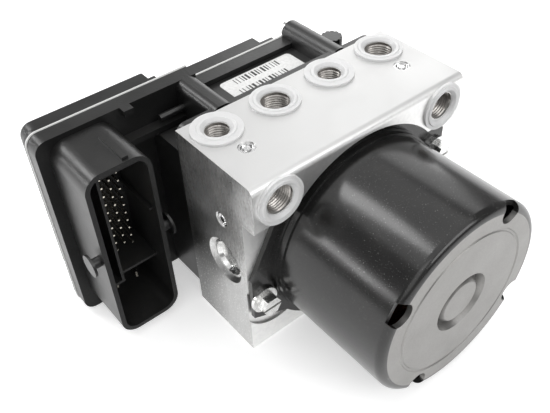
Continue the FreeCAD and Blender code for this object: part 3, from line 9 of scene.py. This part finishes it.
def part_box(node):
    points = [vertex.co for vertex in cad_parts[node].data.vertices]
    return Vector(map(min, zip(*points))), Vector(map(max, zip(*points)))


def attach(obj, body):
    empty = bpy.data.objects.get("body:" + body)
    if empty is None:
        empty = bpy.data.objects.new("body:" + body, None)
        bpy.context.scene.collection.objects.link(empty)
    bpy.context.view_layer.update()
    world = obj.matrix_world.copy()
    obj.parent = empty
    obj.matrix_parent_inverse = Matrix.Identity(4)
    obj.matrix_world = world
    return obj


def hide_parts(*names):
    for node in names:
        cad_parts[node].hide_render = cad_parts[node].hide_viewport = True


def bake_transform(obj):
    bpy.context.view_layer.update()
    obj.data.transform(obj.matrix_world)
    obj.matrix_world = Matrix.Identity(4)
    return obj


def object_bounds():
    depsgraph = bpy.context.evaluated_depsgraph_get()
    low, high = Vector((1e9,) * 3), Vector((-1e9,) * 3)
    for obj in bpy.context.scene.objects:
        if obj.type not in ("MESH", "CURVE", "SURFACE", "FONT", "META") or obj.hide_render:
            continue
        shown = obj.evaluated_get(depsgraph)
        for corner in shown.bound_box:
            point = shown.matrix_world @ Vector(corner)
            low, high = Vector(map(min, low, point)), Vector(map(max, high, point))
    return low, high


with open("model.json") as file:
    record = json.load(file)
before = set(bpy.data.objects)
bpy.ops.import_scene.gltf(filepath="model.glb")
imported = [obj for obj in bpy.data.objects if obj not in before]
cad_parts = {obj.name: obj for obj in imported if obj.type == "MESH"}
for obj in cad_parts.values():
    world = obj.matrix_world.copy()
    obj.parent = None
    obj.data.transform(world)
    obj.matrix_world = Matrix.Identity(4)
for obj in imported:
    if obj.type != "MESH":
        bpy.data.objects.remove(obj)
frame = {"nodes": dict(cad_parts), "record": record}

CAD_LOW, CAD_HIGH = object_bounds()
NODES = frame["nodes"]
RECORD = frame["record"]
MM = 0.001

# Camera, solved from the block's straight edges
IMAGE_WIDTH = 550
CAMERA_TURN = (-37.24, 43.11, -2.88)  # azimuth, elevation, roll in degrees
CAMERA_EYE = (-144.12, -160.57, 236.71)  # mm
FOCAL_PIXELS = 716.03
SENSOR_WIDTH = 36

# Places on the part, in metres
MOTOR_HEIGHT = 0.0412
MOTOR_END = (-0.0700, -0.0695)
MOTOR_END_RADIUS = (0.0361, 0.0364)
# Painted shade ring round the motor's hub: its inner and outer edges
HUB_SHADE_INNER = (0.0078, 0.0092)
HUB_SHADE_OUTER = (0.0098, 0.0116)
JOINT_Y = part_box("controller_cover")[0][1]
# Painted highlight strip along the housing's joint with the cover: width and gap
JOINT_HIGHLIGHT_WIDTH = 0.0008
JOINT_HIGHLIGHT_GAP = 0.00005

ALUMINIUM = (0.86, 0.86, 0.85)
ALUMINIUM_PALE = (0.92, 0.92, 0.91)
ALUMINIUM_GREY = (0.86, 0.86, 0.855)
# Painted shade: the block's upward faces get this darker tone
ALUMINIUM_TOP_SHADE = (0.77, 0.77, 0.765)
# Painted shade: the cut ends below about 36 to 52 mm take this darker tone
ALUMINIUM_LOW_SHADE = (0.60, 0.60, 0.595)
# Mottle tone: grain, and stronger higher up also painted reflection of the dark housing
ALUMINIUM_GRAIN_AND_REFLECTION = (0.46, 0.455, 0.445)
# Painted shadow: darker tone low on the cut ends towards the back
ALUMINIUM_BACK_SHADOW = (0.24, 0.24, 0.238)
ALUMINIUM_SPARK = (0.95, 0.95, 0.94)
PAINT = (0.012, 0.012, 0.012)
PAINT_DARK = (0.010, 0.010, 0.010)
PAINT_PALE = (0.018, 0.0175, 0.017)
PAINT_GRAIN = (0.25, 0.25, 0.24)
END_REFLECTION_PALE = (0.33, 0.323, 0.316)
END_REFLECTION_GREY = (0.295, 0.29, 0.28)
END_SPECK = (0.21, 0.207, 0.20)
END_HUB_SHADE = (0.06, 0.058, 0.055)
PLASTIC = (0.008, 0.008, 0.008)
PLASTIC_PALE = 1.6
# Upward plastic faces: partly dust and partly painted light
PLASTIC_DUST_AND_TOP_LIGHT = (0.018, 0.018, 0.0175)
PLASTIC_ROUGHNESS = 0.36
JOINT_HIGHLIGHT = (0.75, 0.75, 0.74)
NYLON = (0.92, 0.92, 0.92)
NYLON_PALE = (0.93, 0.93, 0.93)
NYLON_GREY = (0.88, 0.88, 0.88)

METALS = {
    "zinc_steel": ("zinc_plate", (0.88, 0.88, 0.87), 0.24),
    "bright_steel": ("bright_steel", (0.80, 0.80, 0.80), 0.2),
    "pin_metal": ("tinned_brass", (0.80, 0.76, 0.66), 0.22),
    "copper": ("copper_wire", (0.72, 0.36, 0.20), 0.35),
}
PLAINS = {
    "magnet_iron": ("magnet_iron", (0.12, 0.12, 0.125), 0.6),
    "carbon": ("carbon", (0.05, 0.05, 0.05), 0.7),
    "board_green": ("board_green", (0.03, 0.16, 0.07), 0.4),
    "label_white": ("label_white", (0.92, 0.92, 0.91), 0.45, 900),
    "seal_rubber": ("seal_rubber", (0.03, 0.03, 0.03), 0.6),
}
THREAD_METAL = ("thread_metal", (0.42, 0.40, 0.38), 0.35)
LABEL_INK = ("label_ink", (0.05, 0.05, 0.05), 0.6)
SCRATCH_SCALE = 600
METAL_WEAR = 0.1
METAL_DARKER = 0.8
PLAIN_DARKER = 0.85

# Threads, in mm
THREAD_PITCH = 1.0
THREAD_DEPTH = 0.42
THREAD_CREST = 0.08
THREAD_CLEARANCE = 0.02
THREAD_RUN_OUT = 1.2
THREAD_SEGMENTS = 40
THREAD_FADE = THREAD_SEGMENTS * 0.6
THREAD_START = 0.005  # metres from the mount's point out to the bore's mouth

# Accumulator springs, as in the part's source
SPRING_WIRE = 0.7 * MM
SPRING_TURNS = 3
SPRING_SEGMENTS = 48
SPRING_SIDES = 12

# Label bars: widths in units, and for each row its foot, head, start, unit and gap in metres
BAR_WIDTHS = [1, 2, 1, 3, 1, 1, 2, 1, 3, 2, 1, 1, 3, 1, 2, 1, 1, 2, 3, 1, 2, 1, 1, 3, 1, 2, 1, 1, 2, 1]
BAR_ROWS = [(0.0075, 0.0112, 0.0062, 0.00034, 0.00020), (0.0012, 0.0040, 0.0040, 0.00036, 0.00022)]
BAR_MARGIN = 0.003
BAR_LIFT = 0.00002
BAR_DEPTH = 0.00004

# Studio: each lamp's name, place, size and watts
LAMP_TARGET = (0, 0, 0.04)
LAMPS = [
    ("key", (0.85, 0.72, 0.58), (0.7, 0.7), 2.5),
    ("low", (0.88, 0.68, 0.24), (0.5, 0.26), 0.8),
    ("band", (-0.36, 0.70, 0.90), (0.24, 0.8), 3.6),
    ("rim", (-0.91, 0.70, 0.36), (0.7, 0.12), 2.4),
    ("top", (0, 0, 1.2), (1.7, 1.7), 8.0),
    ("front", (0.25, -1.0, 0.80), (1.1, 0.5), 5.5),
    ("fill", (-0.9, -0.6, 0.9), (1.0, 1.0), 3),
]
ROOM_LEVEL = 0.22
FLOOR_GLOW = 0.45
FLOOR_COLOUR = (0.9, 0.9, 0.9, 1)
FLOOR_ROUGHNESS = 0.9
FLOOR_HALF = 6
FLOOR_DROP = 0.0002


def make_camera():
    azimuth, elevation, roll = (math.radians(angle) for angle in CAMERA_TURN)
    back = Vector((math.sin(azimuth) * math.cos(elevation),
                   -math.cos(azimuth) * math.cos(elevation),
                   math.sin(elevation)))
    right = (-back).cross(Vector((0, 0, 1))).normalized()
    up = right.cross(-back)
    turned_right = math.cos(roll) * right + math.sin(roll) * up
    turned_up = -math.sin(roll) * right + math.cos(roll) * up
    data = bpy.data.cameras.new("camera")
    data.sensor_width = SENSOR_WIDTH
    data.lens = SENSOR_WIDTH * FOCAL_PIXELS / IMAGE_WIDTH
    data.clip_start = 0.01
    data.clip_end = 20
    camera = bpy.data.objects.new("camera", data)
    turn = Matrix((turned_right, turned_up, back)).transposed().to_4x4()
    camera.matrix_world = Matrix.Translation(Vector(CAMERA_EYE) * MM) @ turn
    bpy.context.scene.collection.objects.link(camera)
    bpy.context.scene.camera = camera


# Materials

class Tree:
    """A material's node tree with one Principled shader."""

    def __init__(self, name, colour, roughness=0.5, metallic=0.0):
        self.material = bpy.data.materials.new(name)
        self.material.use_nodes = True
        self.nodes = self.material.node_tree.nodes
        self.links = self.material.node_tree.links
        self.shader = self.nodes["Principled BSDF"]
        self.set("Base Color", (*colour, 1))
        self.set("Roughness", roughness)
        self.set("Metallic", metallic)
        self.place = self.nodes.new("ShaderNodeTexCoord").outputs["Object"]

    def set(self, socket, value):
        self.shader.inputs[socket].default_value = value

    def join(self, output, target):
        self.links.new(output, target)

    def drive(self, socket, output):
        """Feed one of the shader's inputs."""
        self.join(output, self.shader.inputs[socket])

    def noise(self, scale, detail=3, stretch=(1, 1, 1), distortion=0.0):
        """Noise in object coordinates stretched by a factor on each axis."""
        mapping = self.nodes.new("ShaderNodeMapping")
        mapping.inputs["Scale"].default_value = stretch
        self.join(self.place, mapping.inputs["Vector"])
        node = self.nodes.new("ShaderNodeTexNoise")
        node.inputs["Scale"].default_value = scale
        node.inputs["Detail"].default_value = detail
        node.inputs["Distortion"].default_value = distortion
        self.join(mapping.outputs["Vector"], node.inputs["Vector"])
        return node.outputs["Fac"]

    def cells(self, scale):
        node = self.nodes.new("ShaderNodeTexVoronoi")
        node.inputs["Scale"].default_value = scale
        self.join(self.place, node.inputs["Vector"])
        return node.outputs["Distance"]

    def span(self, value, low, high, to_low=0.0, to_high=1.0):
        """Map one range of a value onto another, clamped."""
        node = self.nodes.new("ShaderNodeMapRange")
        node.inputs["From Min"].default_value = low
        node.inputs["From Max"].default_value = high
        node.inputs["To Min"].default_value = to_low
        node.inputs["To Max"].default_value = to_high
        self.join(value, node.inputs["Value"])
        return node.outputs["Result"]

    def math(self, operation, first, second=None):
        node = self.nodes.new("ShaderNodeMath")
        node.operation = operation
        for index, value in enumerate((first, second)):
            if isinstance(value, (int, float)):
                node.inputs[index].default_value = value
            elif value is not None:
                self.join(value, node.inputs[index])
        return node.outputs[0]

    def colours(self, factor, low, high):
        """Blend of two colours by a factor."""
        node = self.nodes.new("ShaderNodeMix")
        node.data_type = "RGBA"
        self.join(factor, node.inputs[0])
        for index, colour in ((6, low), (7, high)):
            if isinstance(colour, tuple):
                node.inputs[index].default_value = (*colour, 1)
            else:
                self.join(colour, node.inputs[index])
        return node.outputs[2]

    def axis(self, name):
        """One coordinate of the surface point, in metres."""
        node = self.nodes.new("ShaderNodeSeparateXYZ")
        self.join(self.place, node.inputs[0])
        return node.outputs[name]

    def facing(self, name):
        """One component of the surface's own normal."""
        source = self.nodes.new("ShaderNodeNewGeometry")
        node = self.nodes.new("ShaderNodeSeparateXYZ")
        self.join(source.outputs["Normal"], node.inputs[0])
        return node.outputs[name]

    def bump(self, height, distance, strength, under=None):
        node = self.nodes.new("ShaderNodeBump")
        node.inputs["Distance"].default_value = distance
        node.inputs["Strength"].default_value = strength
        self.join(height, node.inputs["Height"])
        if under is not None:
            self.join(under, node.inputs["Normal"])
        self.drive("Normal", node.outputs["Normal"])
        return node.outputs["Normal"]


def block_aluminium():
    """Bright machined faces; the extrusion's cut ends are mottled, and darker low down and at the back. Painted
    light: the top faces get a darker tone as painted shade, the darkening low down and at the back is painted shade
    and shadow, and the mottle is grain that, stronger higher up, is also painted reflection of the dark housing.
    """
    tree = Tree("block_aluminium", ALUMINIUM, 0.36, 1.0)
    side = tree.span(tree.math("ABSOLUTE", tree.facing("X")), 0.5, 0.8)
    upward = tree.span(tree.facing("Z"), 0.6, 0.95)
    streak = tree.noise(700, 5, (1, 1, 0.16), 0.3)
    patch = tree.noise(70, 4, (1, 0.7, 0.5), 0.8)
    grit = tree.noise(1100, 3, (1, 1, 0.5))
    mottle = tree.math("ADD", tree.span(streak, 0.36, 0.62, 0, 0.45), tree.span(patch, 0.35, 0.65, -0.25, 0.45))
    mottle = tree.math("ADD", mottle, tree.span(grit, 0.38, 0.62, -0.15, 0.35))
    height = tree.span(tree.axis("Z"), 0.015, 0.045, 0.25, 1.0)
    # Mottle: real grain, made stronger higher up on the cut ends as painted reflection of the dark housing
    grain_and_reflection = tree.math("MULTIPLY", tree.math("MULTIPLY", tree.span(mottle, 0.2, 0.9), side), height)
    coarse = tree.noise(60, 4, distortion=0.6)
    rough = tree.math("ADD", tree.math("MULTIPLY", grain_and_reflection, 0.1), tree.span(coarse, 0.3, 0.7, 0.40, 0.50))
    rough = tree.math("ADD", rough, tree.math("MULTIPLY", upward, 0.07))
    tree.drive("Roughness", tree.math("SUBTRACT", rough, tree.math("MULTIPLY", side, 0.13)))
    colour = tree.colours(tree.span(tree.noise(700), 0.35, 0.7), ALUMINIUM_PALE, ALUMINIUM_GREY)
    # Painted shade: upward faces take the darker top tone
    colour = tree.colours(upward, colour, ALUMINIUM_TOP_SHADE)
    # Painted shade: the cut ends are darker low down
    low_shade = tree.math("MULTIPLY", side, tree.span(tree.axis("Z"), 0.036, 0.052, 1.0, 0.0))
    colour = tree.colours(low_shade, colour, ALUMINIUM_LOW_SHADE)
    colour = tree.colours(grain_and_reflection, colour, ALUMINIUM_GRAIN_AND_REFLECTION)
    # Painted shadow: the low part of the cut ends is darker still towards the back, standing in for the housing's
    # shadow seen in reflection
    back = tree.math("MULTIPLY", low_shade, tree.span(tree.axis("Y"), -0.004, 0.012))
    colour = tree.colours(back, colour, ALUMINIUM_BACK_SHADOW)
    spark = tree.math("MULTIPLY", tree.span(tree.noise(1300, 2), 0.62, 0.70), side)
    tree.drive("Base Color", tree.colours(spark, colour, ALUMINIUM_SPARK))
    fine = tree.bump(tree.noise(2200, 2, (1, 0.04, 1)), 0.00002, 0.35)
    tree.bump(tree.math("MULTIPLY", streak, side), 0.00012, 0.6, fine)
    return tree.material


def motor_black():
    """Satin black can; inside its rim the end face is given a grey metallic tone as a painted reflection of the
    bright light it faces, with a dark painted-shade ring round the hub.
    """
    tree = Tree("motor_black", PAINT, 0.3)
    tree.set("Specular IOR Level", 0.55)
    across = tree.math("POWER", tree.axis("X"), 2)
    rise = tree.math("POWER", tree.math("SUBTRACT", tree.axis("Z"), MOTOR_HEIGHT), 2)
    radius = tree.math("SQRT", tree.math("ADD", across, rise))
    inside = tree.span(radius, *MOTOR_END_RADIUS, 1.0, 0.0)
    end = tree.math("MULTIPLY", inside, tree.span(tree.axis("Y"), *MOTOR_END, 1.0, 0.0))
    dust = tree.span(tree.noise(90, 4, distortion=0.3), 0.3, 0.7)
    # Painted reflection: the end face's grey tone stands in for the bright light it reflects; noise varies it
    end_reflection = tree.colours(dust, END_REFLECTION_PALE, END_REFLECTION_GREY)
    end_reflection = tree.colours(tree.span(tree.noise(1400, 2), 0.4, 0.75, 0, 0.25), end_reflection, END_SPECK)
    # Painted shade: a dark ring in the hollow round the hub
    hub_shade = tree.math("MULTIPLY", tree.span(radius, *HUB_SHADE_INNER), tree.span(radius, *HUB_SHADE_OUTER, 1.0, 0.0))
    end_reflection = tree.colours(tree.math("MULTIPLY", hub_shade, 0.8), end_reflection, END_HUB_SHADE)
    black = tree.colours(dust, PAINT_DARK, PAINT_PALE)
    black = tree.colours(tree.span(tree.noise(3200, 2), 0.70, 0.73), black, PAINT_GRAIN)
    # Painted reflection: the end face takes the grey tone and a metallic weight
    tree.drive("Base Color", tree.colours(end, black, end_reflection))
    tree.drive("Metallic", tree.math("MULTIPLY", end, 0.9))
    satin = tree.span(tree.noise(40), 0.3, 0.7, 0.17, 0.23)
    tree.drive("Roughness", tree.math("ADD", satin, tree.math("MULTIPLY", end, 0.21)))
    tree.bump(tree.noise(900, 2), 0.00003, 0.4)
    return tree.material


def black_plastic(name="black_plastic"):
    """Moulded glass-filled plastic with a fine leathery grain; upward faces are paler, partly dust and partly
    painted light, and faces turned up or sideways get a stronger painted sheen than the others.
    """
    tree = Tree(name, PLASTIC, PLASTIC_ROUGHNESS)
    upward = tree.span(tree.facing("Z"), 0.3, 0.9)
    sideways = tree.span(tree.math("ABSOLUTE", tree.facing("X")), 0.4, 0.9)
    # Painted sheen: faces turned up or sideways reflect more strongly than faces turned front, back or down
    painted_sheen = tree.math("MAXIMUM", upward, sideways)
    tree.drive("Specular IOR Level", tree.span(painted_sheen, 0, 1, 0.2, 0.9))
    patch = tree.noise(45)
    paler = tuple(part * PLASTIC_PALE for part in PLASTIC)
    clean = tree.colours(tree.span(patch, 0.3, 0.7), PLASTIC, paler)
    # Dust and painted light: upward faces made paler, partly as dust and partly to light them more than the sides
    dust = tree.math("MULTIPLY", upward, tree.span(tree.noise(300, 4), 0.35, 0.7, 0.6, 1.0))
    tree.drive("Base Color", tree.colours(dust, clean, PLASTIC_DUST_AND_TOP_LIGHT))
    tree.drive("Roughness", tree.span(patch, 0.3, 0.7, PLASTIC_ROUGHNESS - 0.05, PLASTIC_ROUGHNESS + 0.06))
    tree.bump(tree.math("ADD", tree.noise(1500, 2), tree.cells(900)), 0.00005, 0.5)
    return tree


def housing_plastic():
    """The controller's plastic, with a pale strip along the joint with the cover as a painted highlight."""
    tree = black_plastic("housing_plastic")
    # Painted highlight: a pale strip on the housing just in front of the joint with the cover
    near = tree.math("GREATER_THAN", tree.axis("Y"), JOINT_Y - JOINT_HIGHLIGHT_WIDTH)
    far = tree.math("LESS_THAN", tree.axis("Y"), JOINT_Y - JOINT_HIGHLIGHT_GAP)
    base = tree.shader.inputs["Base Color"].links[0].from_socket
    tree.drive("Base Color", tree.colours(tree.math("MULTIPLY", near, far), base, JOINT_HIGHLIGHT))
    return tree.material


def ring_plastic():
    """Milky translucent nylon."""
    tree = Tree("ring_plastic", NYLON, 0.32)
    tree.set("Subsurface Weight", 0.35)
    tree.set("Subsurface Scale", 0.002)
    tree.set("Subsurface Radius", (1, 1, 1))
    tree.set("Transmission Weight", 0.18)
    tree.drive("Base Color", tree.colours(tree.span(tree.noise(220), 0.3, 0.7), NYLON_PALE, NYLON_GREY))
    tree.bump(tree.noise(500, 2), 0.00005, 0.5)
    return tree.material


def metal(name, colour, roughness):
    """Plated or turned metal with light scratches."""
    tree = Tree(name, colour, roughness, 1.0)
    darker = tuple(part * METAL_DARKER for part in colour)
    patch = tree.noise(SCRATCH_SCALE, 4, distortion=0.4)
    tree.drive("Base Color", tree.colours(tree.span(patch, 0.35, 0.65), colour, darker))
    tree.drive("Roughness", tree.span(patch, 0.3, 0.7, roughness - METAL_WEAR, roughness + METAL_WEAR))
    tree.bump(tree.noise(SCRATCH_SCALE * 3, 2), 0.00002, 0.4)
    return tree.material


def plain(name, colour, roughness, scale=400):
    """Matt material with slight colour variation."""
    tree = Tree(name, colour, roughness)
    darker = tuple(part * PLAIN_DARKER for part in colour)
    patch = tree.noise(scale)
    tree.drive("Base Color", tree.colours(tree.span(patch, 0.3, 0.7), colour, darker))
    tree.bump(patch, 0.00003, 0.4)
    return tree.material


def paint(node, material):
    slots = NODES[node].material_slots
    if len(slots) == 0:
        NODES[node].data.materials.append(material)
    for slot in NODES[node].material_slots:
        slot.material = material


def paint_nodes():
    """Give every CAD node its material and return the materials by slot."""
    by_slot = {
        "block_metal": block_aluminium(),
        "motor_paint": motor_black(),
        "ring_plastic": ring_plastic(),
        "black_plastic": black_plastic().material,
    }
    by_slot.update({slot: metal(*values) for slot, values in METALS.items()})
    by_slot.update({slot: plain(*values) for slot, values in PLAINS.items()})
    for part in RECORD["subparts"]:
        paint(part["node"], by_slot[part["material_slot"]])
    paint("controller_housing", housing_plastic())
    return by_slot


# Pieces

def new_object(name, mesh, material):
    """Link a finished mesh as a visible piece."""
    data = bpy.data.meshes.new(name)
    mesh.to_mesh(data)
    mesh.free()
    data.materials.append(material)
    item = bpy.data.objects.new(name, data)
    bpy.context.scene.collection.objects.link(item)
    return item


def bridge(mesh, rows, closed):
    """Quads between neighbouring rows of vertices."""
    for first, second in zip(rows, rows[1:]):
        for index in range(len(first) if closed else len(first) - 1):
            after = (index + 1) % len(first)
            mesh.faces.new((first[index], second[index], second[after], first[after]))


def thread(name, mouth, axis, radius, length, material):
    """Helical ridge on the wall of a tapped bore, from its mouth inwards."""
    count = int(length / THREAD_PITCH * THREAD_SEGMENTS)
    profile = ((-0.5, 0.0), (-THREAD_CREST, 1.0), (THREAD_CREST, 1.0), (0.5, 0.0))
    mesh = bmesh.new()
    rows = []
    for step in range(count + 1):
        angle = 2 * math.pi * step / THREAD_SEGMENTS
        along = THREAD_PITCH * step / THREAD_SEGMENTS
        fade = min(1, step / THREAD_FADE, (count - step) / THREAD_FADE)
        row = []
        for offset, height in profile:
            reach = radius - THREAD_CLEARANCE - THREAD_DEPTH * height * fade
            row.append(mesh.verts.new((reach * math.cos(angle) * MM,
                                       reach * math.sin(angle) * MM,
                                       -(along + (offset + 0.5) * THREAD_PITCH) * MM)))
        rows.append(row)
    bridge(mesh, rows, closed=False)
    turn = Vector((0, 0, 1)).rotation_difference(Vector(axis)).to_matrix().to_4x4()
    mesh.transform(Matrix.Translation(mouth) @ turn)
    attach(new_object(name, mesh, material), "module")


def port_threads(material):
    for mount in RECORD["mounts"]:
        if "port" in mount["name"] and mount["kind"] == "threaded_hole":
            mouth = Vector(mount["pos_m"]) + Vector(mount["axis"]) * THREAD_START
            thread("thread_" + mount["name"], mouth, mount["axis"], mount["dims"]["r_mm"],
                   mount["dims"]["length_mm"] - THREAD_RUN_OUT, material)


def accumulator_spring(side, material):
    """Coil of the CAD spring's own size, running from its foot to its head, in place of the CAD spring."""
    node = "accumulator_spring_" + side
    low, high = (Vector(corner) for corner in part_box(node))
    centre = (low + high) / 2
    radius = (high.x - low.x) / 2 - SPRING_WIRE
    foot, head = low.z + SPRING_WIRE, high.z - SPRING_WIRE
    count = SPRING_TURNS * SPRING_SEGMENTS
    mesh = bmesh.new()
    rows = []
    for step in range(count + 1):
        angle = 2 * math.pi * step / SPRING_SEGMENTS
        height = foot + (head - foot) * step / count
        row = []
        for index in range(SPRING_SIDES):
            turn = 2 * math.pi * index / SPRING_SIDES
            reach = radius + SPRING_WIRE * math.cos(turn)
            row.append(mesh.verts.new((centre.x + reach * math.cos(angle),
                                       centre.y + reach * math.sin(angle),
                                       height + SPRING_WIRE * math.sin(turn))))
        rows.append(row)
    bridge(mesh, rows, closed=True)
    mesh.faces.new(rows[0])
    mesh.faces.new(list(reversed(rows[-1])))
    bmesh.ops.recalc_face_normals(mesh, faces=mesh.faces)
    coil = new_object(node + "_coil", mesh, material)
    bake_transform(coil)
    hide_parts(node)


def label_bars(material):
    """Two rows of plain upright bars on the label."""
    low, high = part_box("label_plate")
    top = high[2] + BAR_LIFT
    mesh = bmesh.new()
    for foot, head, start, unit, gap in BAR_ROWS:
        x = low[0] + start
        for index, width in enumerate(BAR_WIDTHS):
            step = width * unit
            if index % 2 == 0 and x + step < high[0] - BAR_MARGIN:
                corners = [(x, low[1] + foot), (x + step, low[1] + foot),
                           (x + step, low[1] + head), (x, low[1] + head)]
                bottom = [mesh.verts.new((u, v, top - BAR_DEPTH)) for u, v in corners]
                above = [mesh.verts.new((u, v, top)) for u, v in corners]
                mesh.faces.new(above)
                for i in range(4):
                    mesh.faces.new((bottom[i], bottom[(i + 1) % 4], above[(i + 1) % 4], above[i]))
            x += step + gap
    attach(new_object("label_bars", mesh, material), "module")


# Studio

def add_lamps():
    for name, place, size, watts in LAMPS:
        data = bpy.data.lights.new(name, "AREA")
        data.shape = "RECTANGLE"
        data.size, data.size_y = size
        data.energy = watts
        lamp = bpy.data.objects.new(name, data)
        lamp.location = place
        lamp.rotation_mode = "QUATERNION"
        lamp.rotation_quaternion = (Vector(LAMP_TARGET) - Vector(place)).to_track_quat("-Z", "Y")
        bpy.context.scene.collection.objects.link(lamp)


def rays(tree, *kinds):
    """1 for a ray of any of these kinds and 0 for others."""
    path = tree.nodes.new("ShaderNodeLightPath")
    share = path.outputs[kinds[0]]
    for kind in kinds[1:]:
        either = tree.nodes.new("ShaderNodeMath")
        either.operation = "MAXIMUM"
        tree.links.new(share, either.inputs[0])
        tree.links.new(path.outputs[kind], either.inputs[1])
        share = either.outputs[0]
    return share


def add_world():
    """Dim room; white behind the object."""
    world = bpy.data.worlds.new("studio")
    bpy.context.scene.world = world
    world.use_nodes = True
    tree = world.node_tree
    background = tree.nodes["Background"]
    background.inputs["Color"].default_value = (1, 1, 1, 1)
    level = tree.nodes.new("ShaderNodeMapRange")
    level.inputs["To Min"].default_value = ROOM_LEVEL
    level.inputs["To Max"].default_value = 1.0
    tree.links.new(rays(tree, "Is Camera Ray", "Is Transmission Ray"), level.inputs["Value"])
    tree.links.new(level.outputs["Result"], background.inputs["Strength"])


def add_floor():
    """White floor that keeps the shadow; its glow is seen but doesn't light the object."""
    material = bpy.data.materials.new("floor_white")
    material.use_nodes = True
    tree = material.node_tree
    shader = tree.nodes["Principled BSDF"]
    shader.inputs["Base Color"].default_value = FLOOR_COLOUR
    shader.inputs["Roughness"].default_value = FLOOR_ROUGHNESS
    strength = tree.nodes.new("ShaderNodeMath")
    strength.operation = "MULTIPLY"
    strength.inputs[1].default_value = FLOOR_GLOW
    tree.links.new(rays(tree, "Is Camera Ray", "Is Glossy Ray", "Is Transmission Ray"), strength.inputs[0])
    glow = tree.nodes.new("ShaderNodeEmission")
    tree.links.new(strength.outputs[0], glow.inputs["Strength"])
    total = tree.nodes.new("ShaderNodeAddShader")
    tree.links.new(shader.outputs[0], total.inputs[0])
    tree.links.new(glow.outputs[0], total.inputs[1])
    tree.links.new(total.outputs[0], tree.nodes["Material Output"].inputs["Surface"])
    half = FLOOR_HALF
    mesh = bpy.data.meshes.new("floor")
    mesh.from_pydata([(-half, -half, 0), (half, -half, 0), (half, half, 0), (-half, half, 0)], [], [(0, 1, 2, 3)])
    floor = bpy.data.objects.new("floor", mesh)
    floor.location.z = CAD_LOW[2] - FLOOR_DROP
    floor.data.materials.append(material)
    bpy.context.scene.collection.objects.link(floor)


make_camera()
materials = paint_nodes()
port_threads(metal(*THREAD_METAL))
for side in ("left", "right"):
    accumulator_spring(side, materials["bright_steel"])
label_bars(plain(*LABEL_INK))
bpy.context.scene.view_settings.view_transform = "Standard"
add_world()
add_lamps()
add_floor()
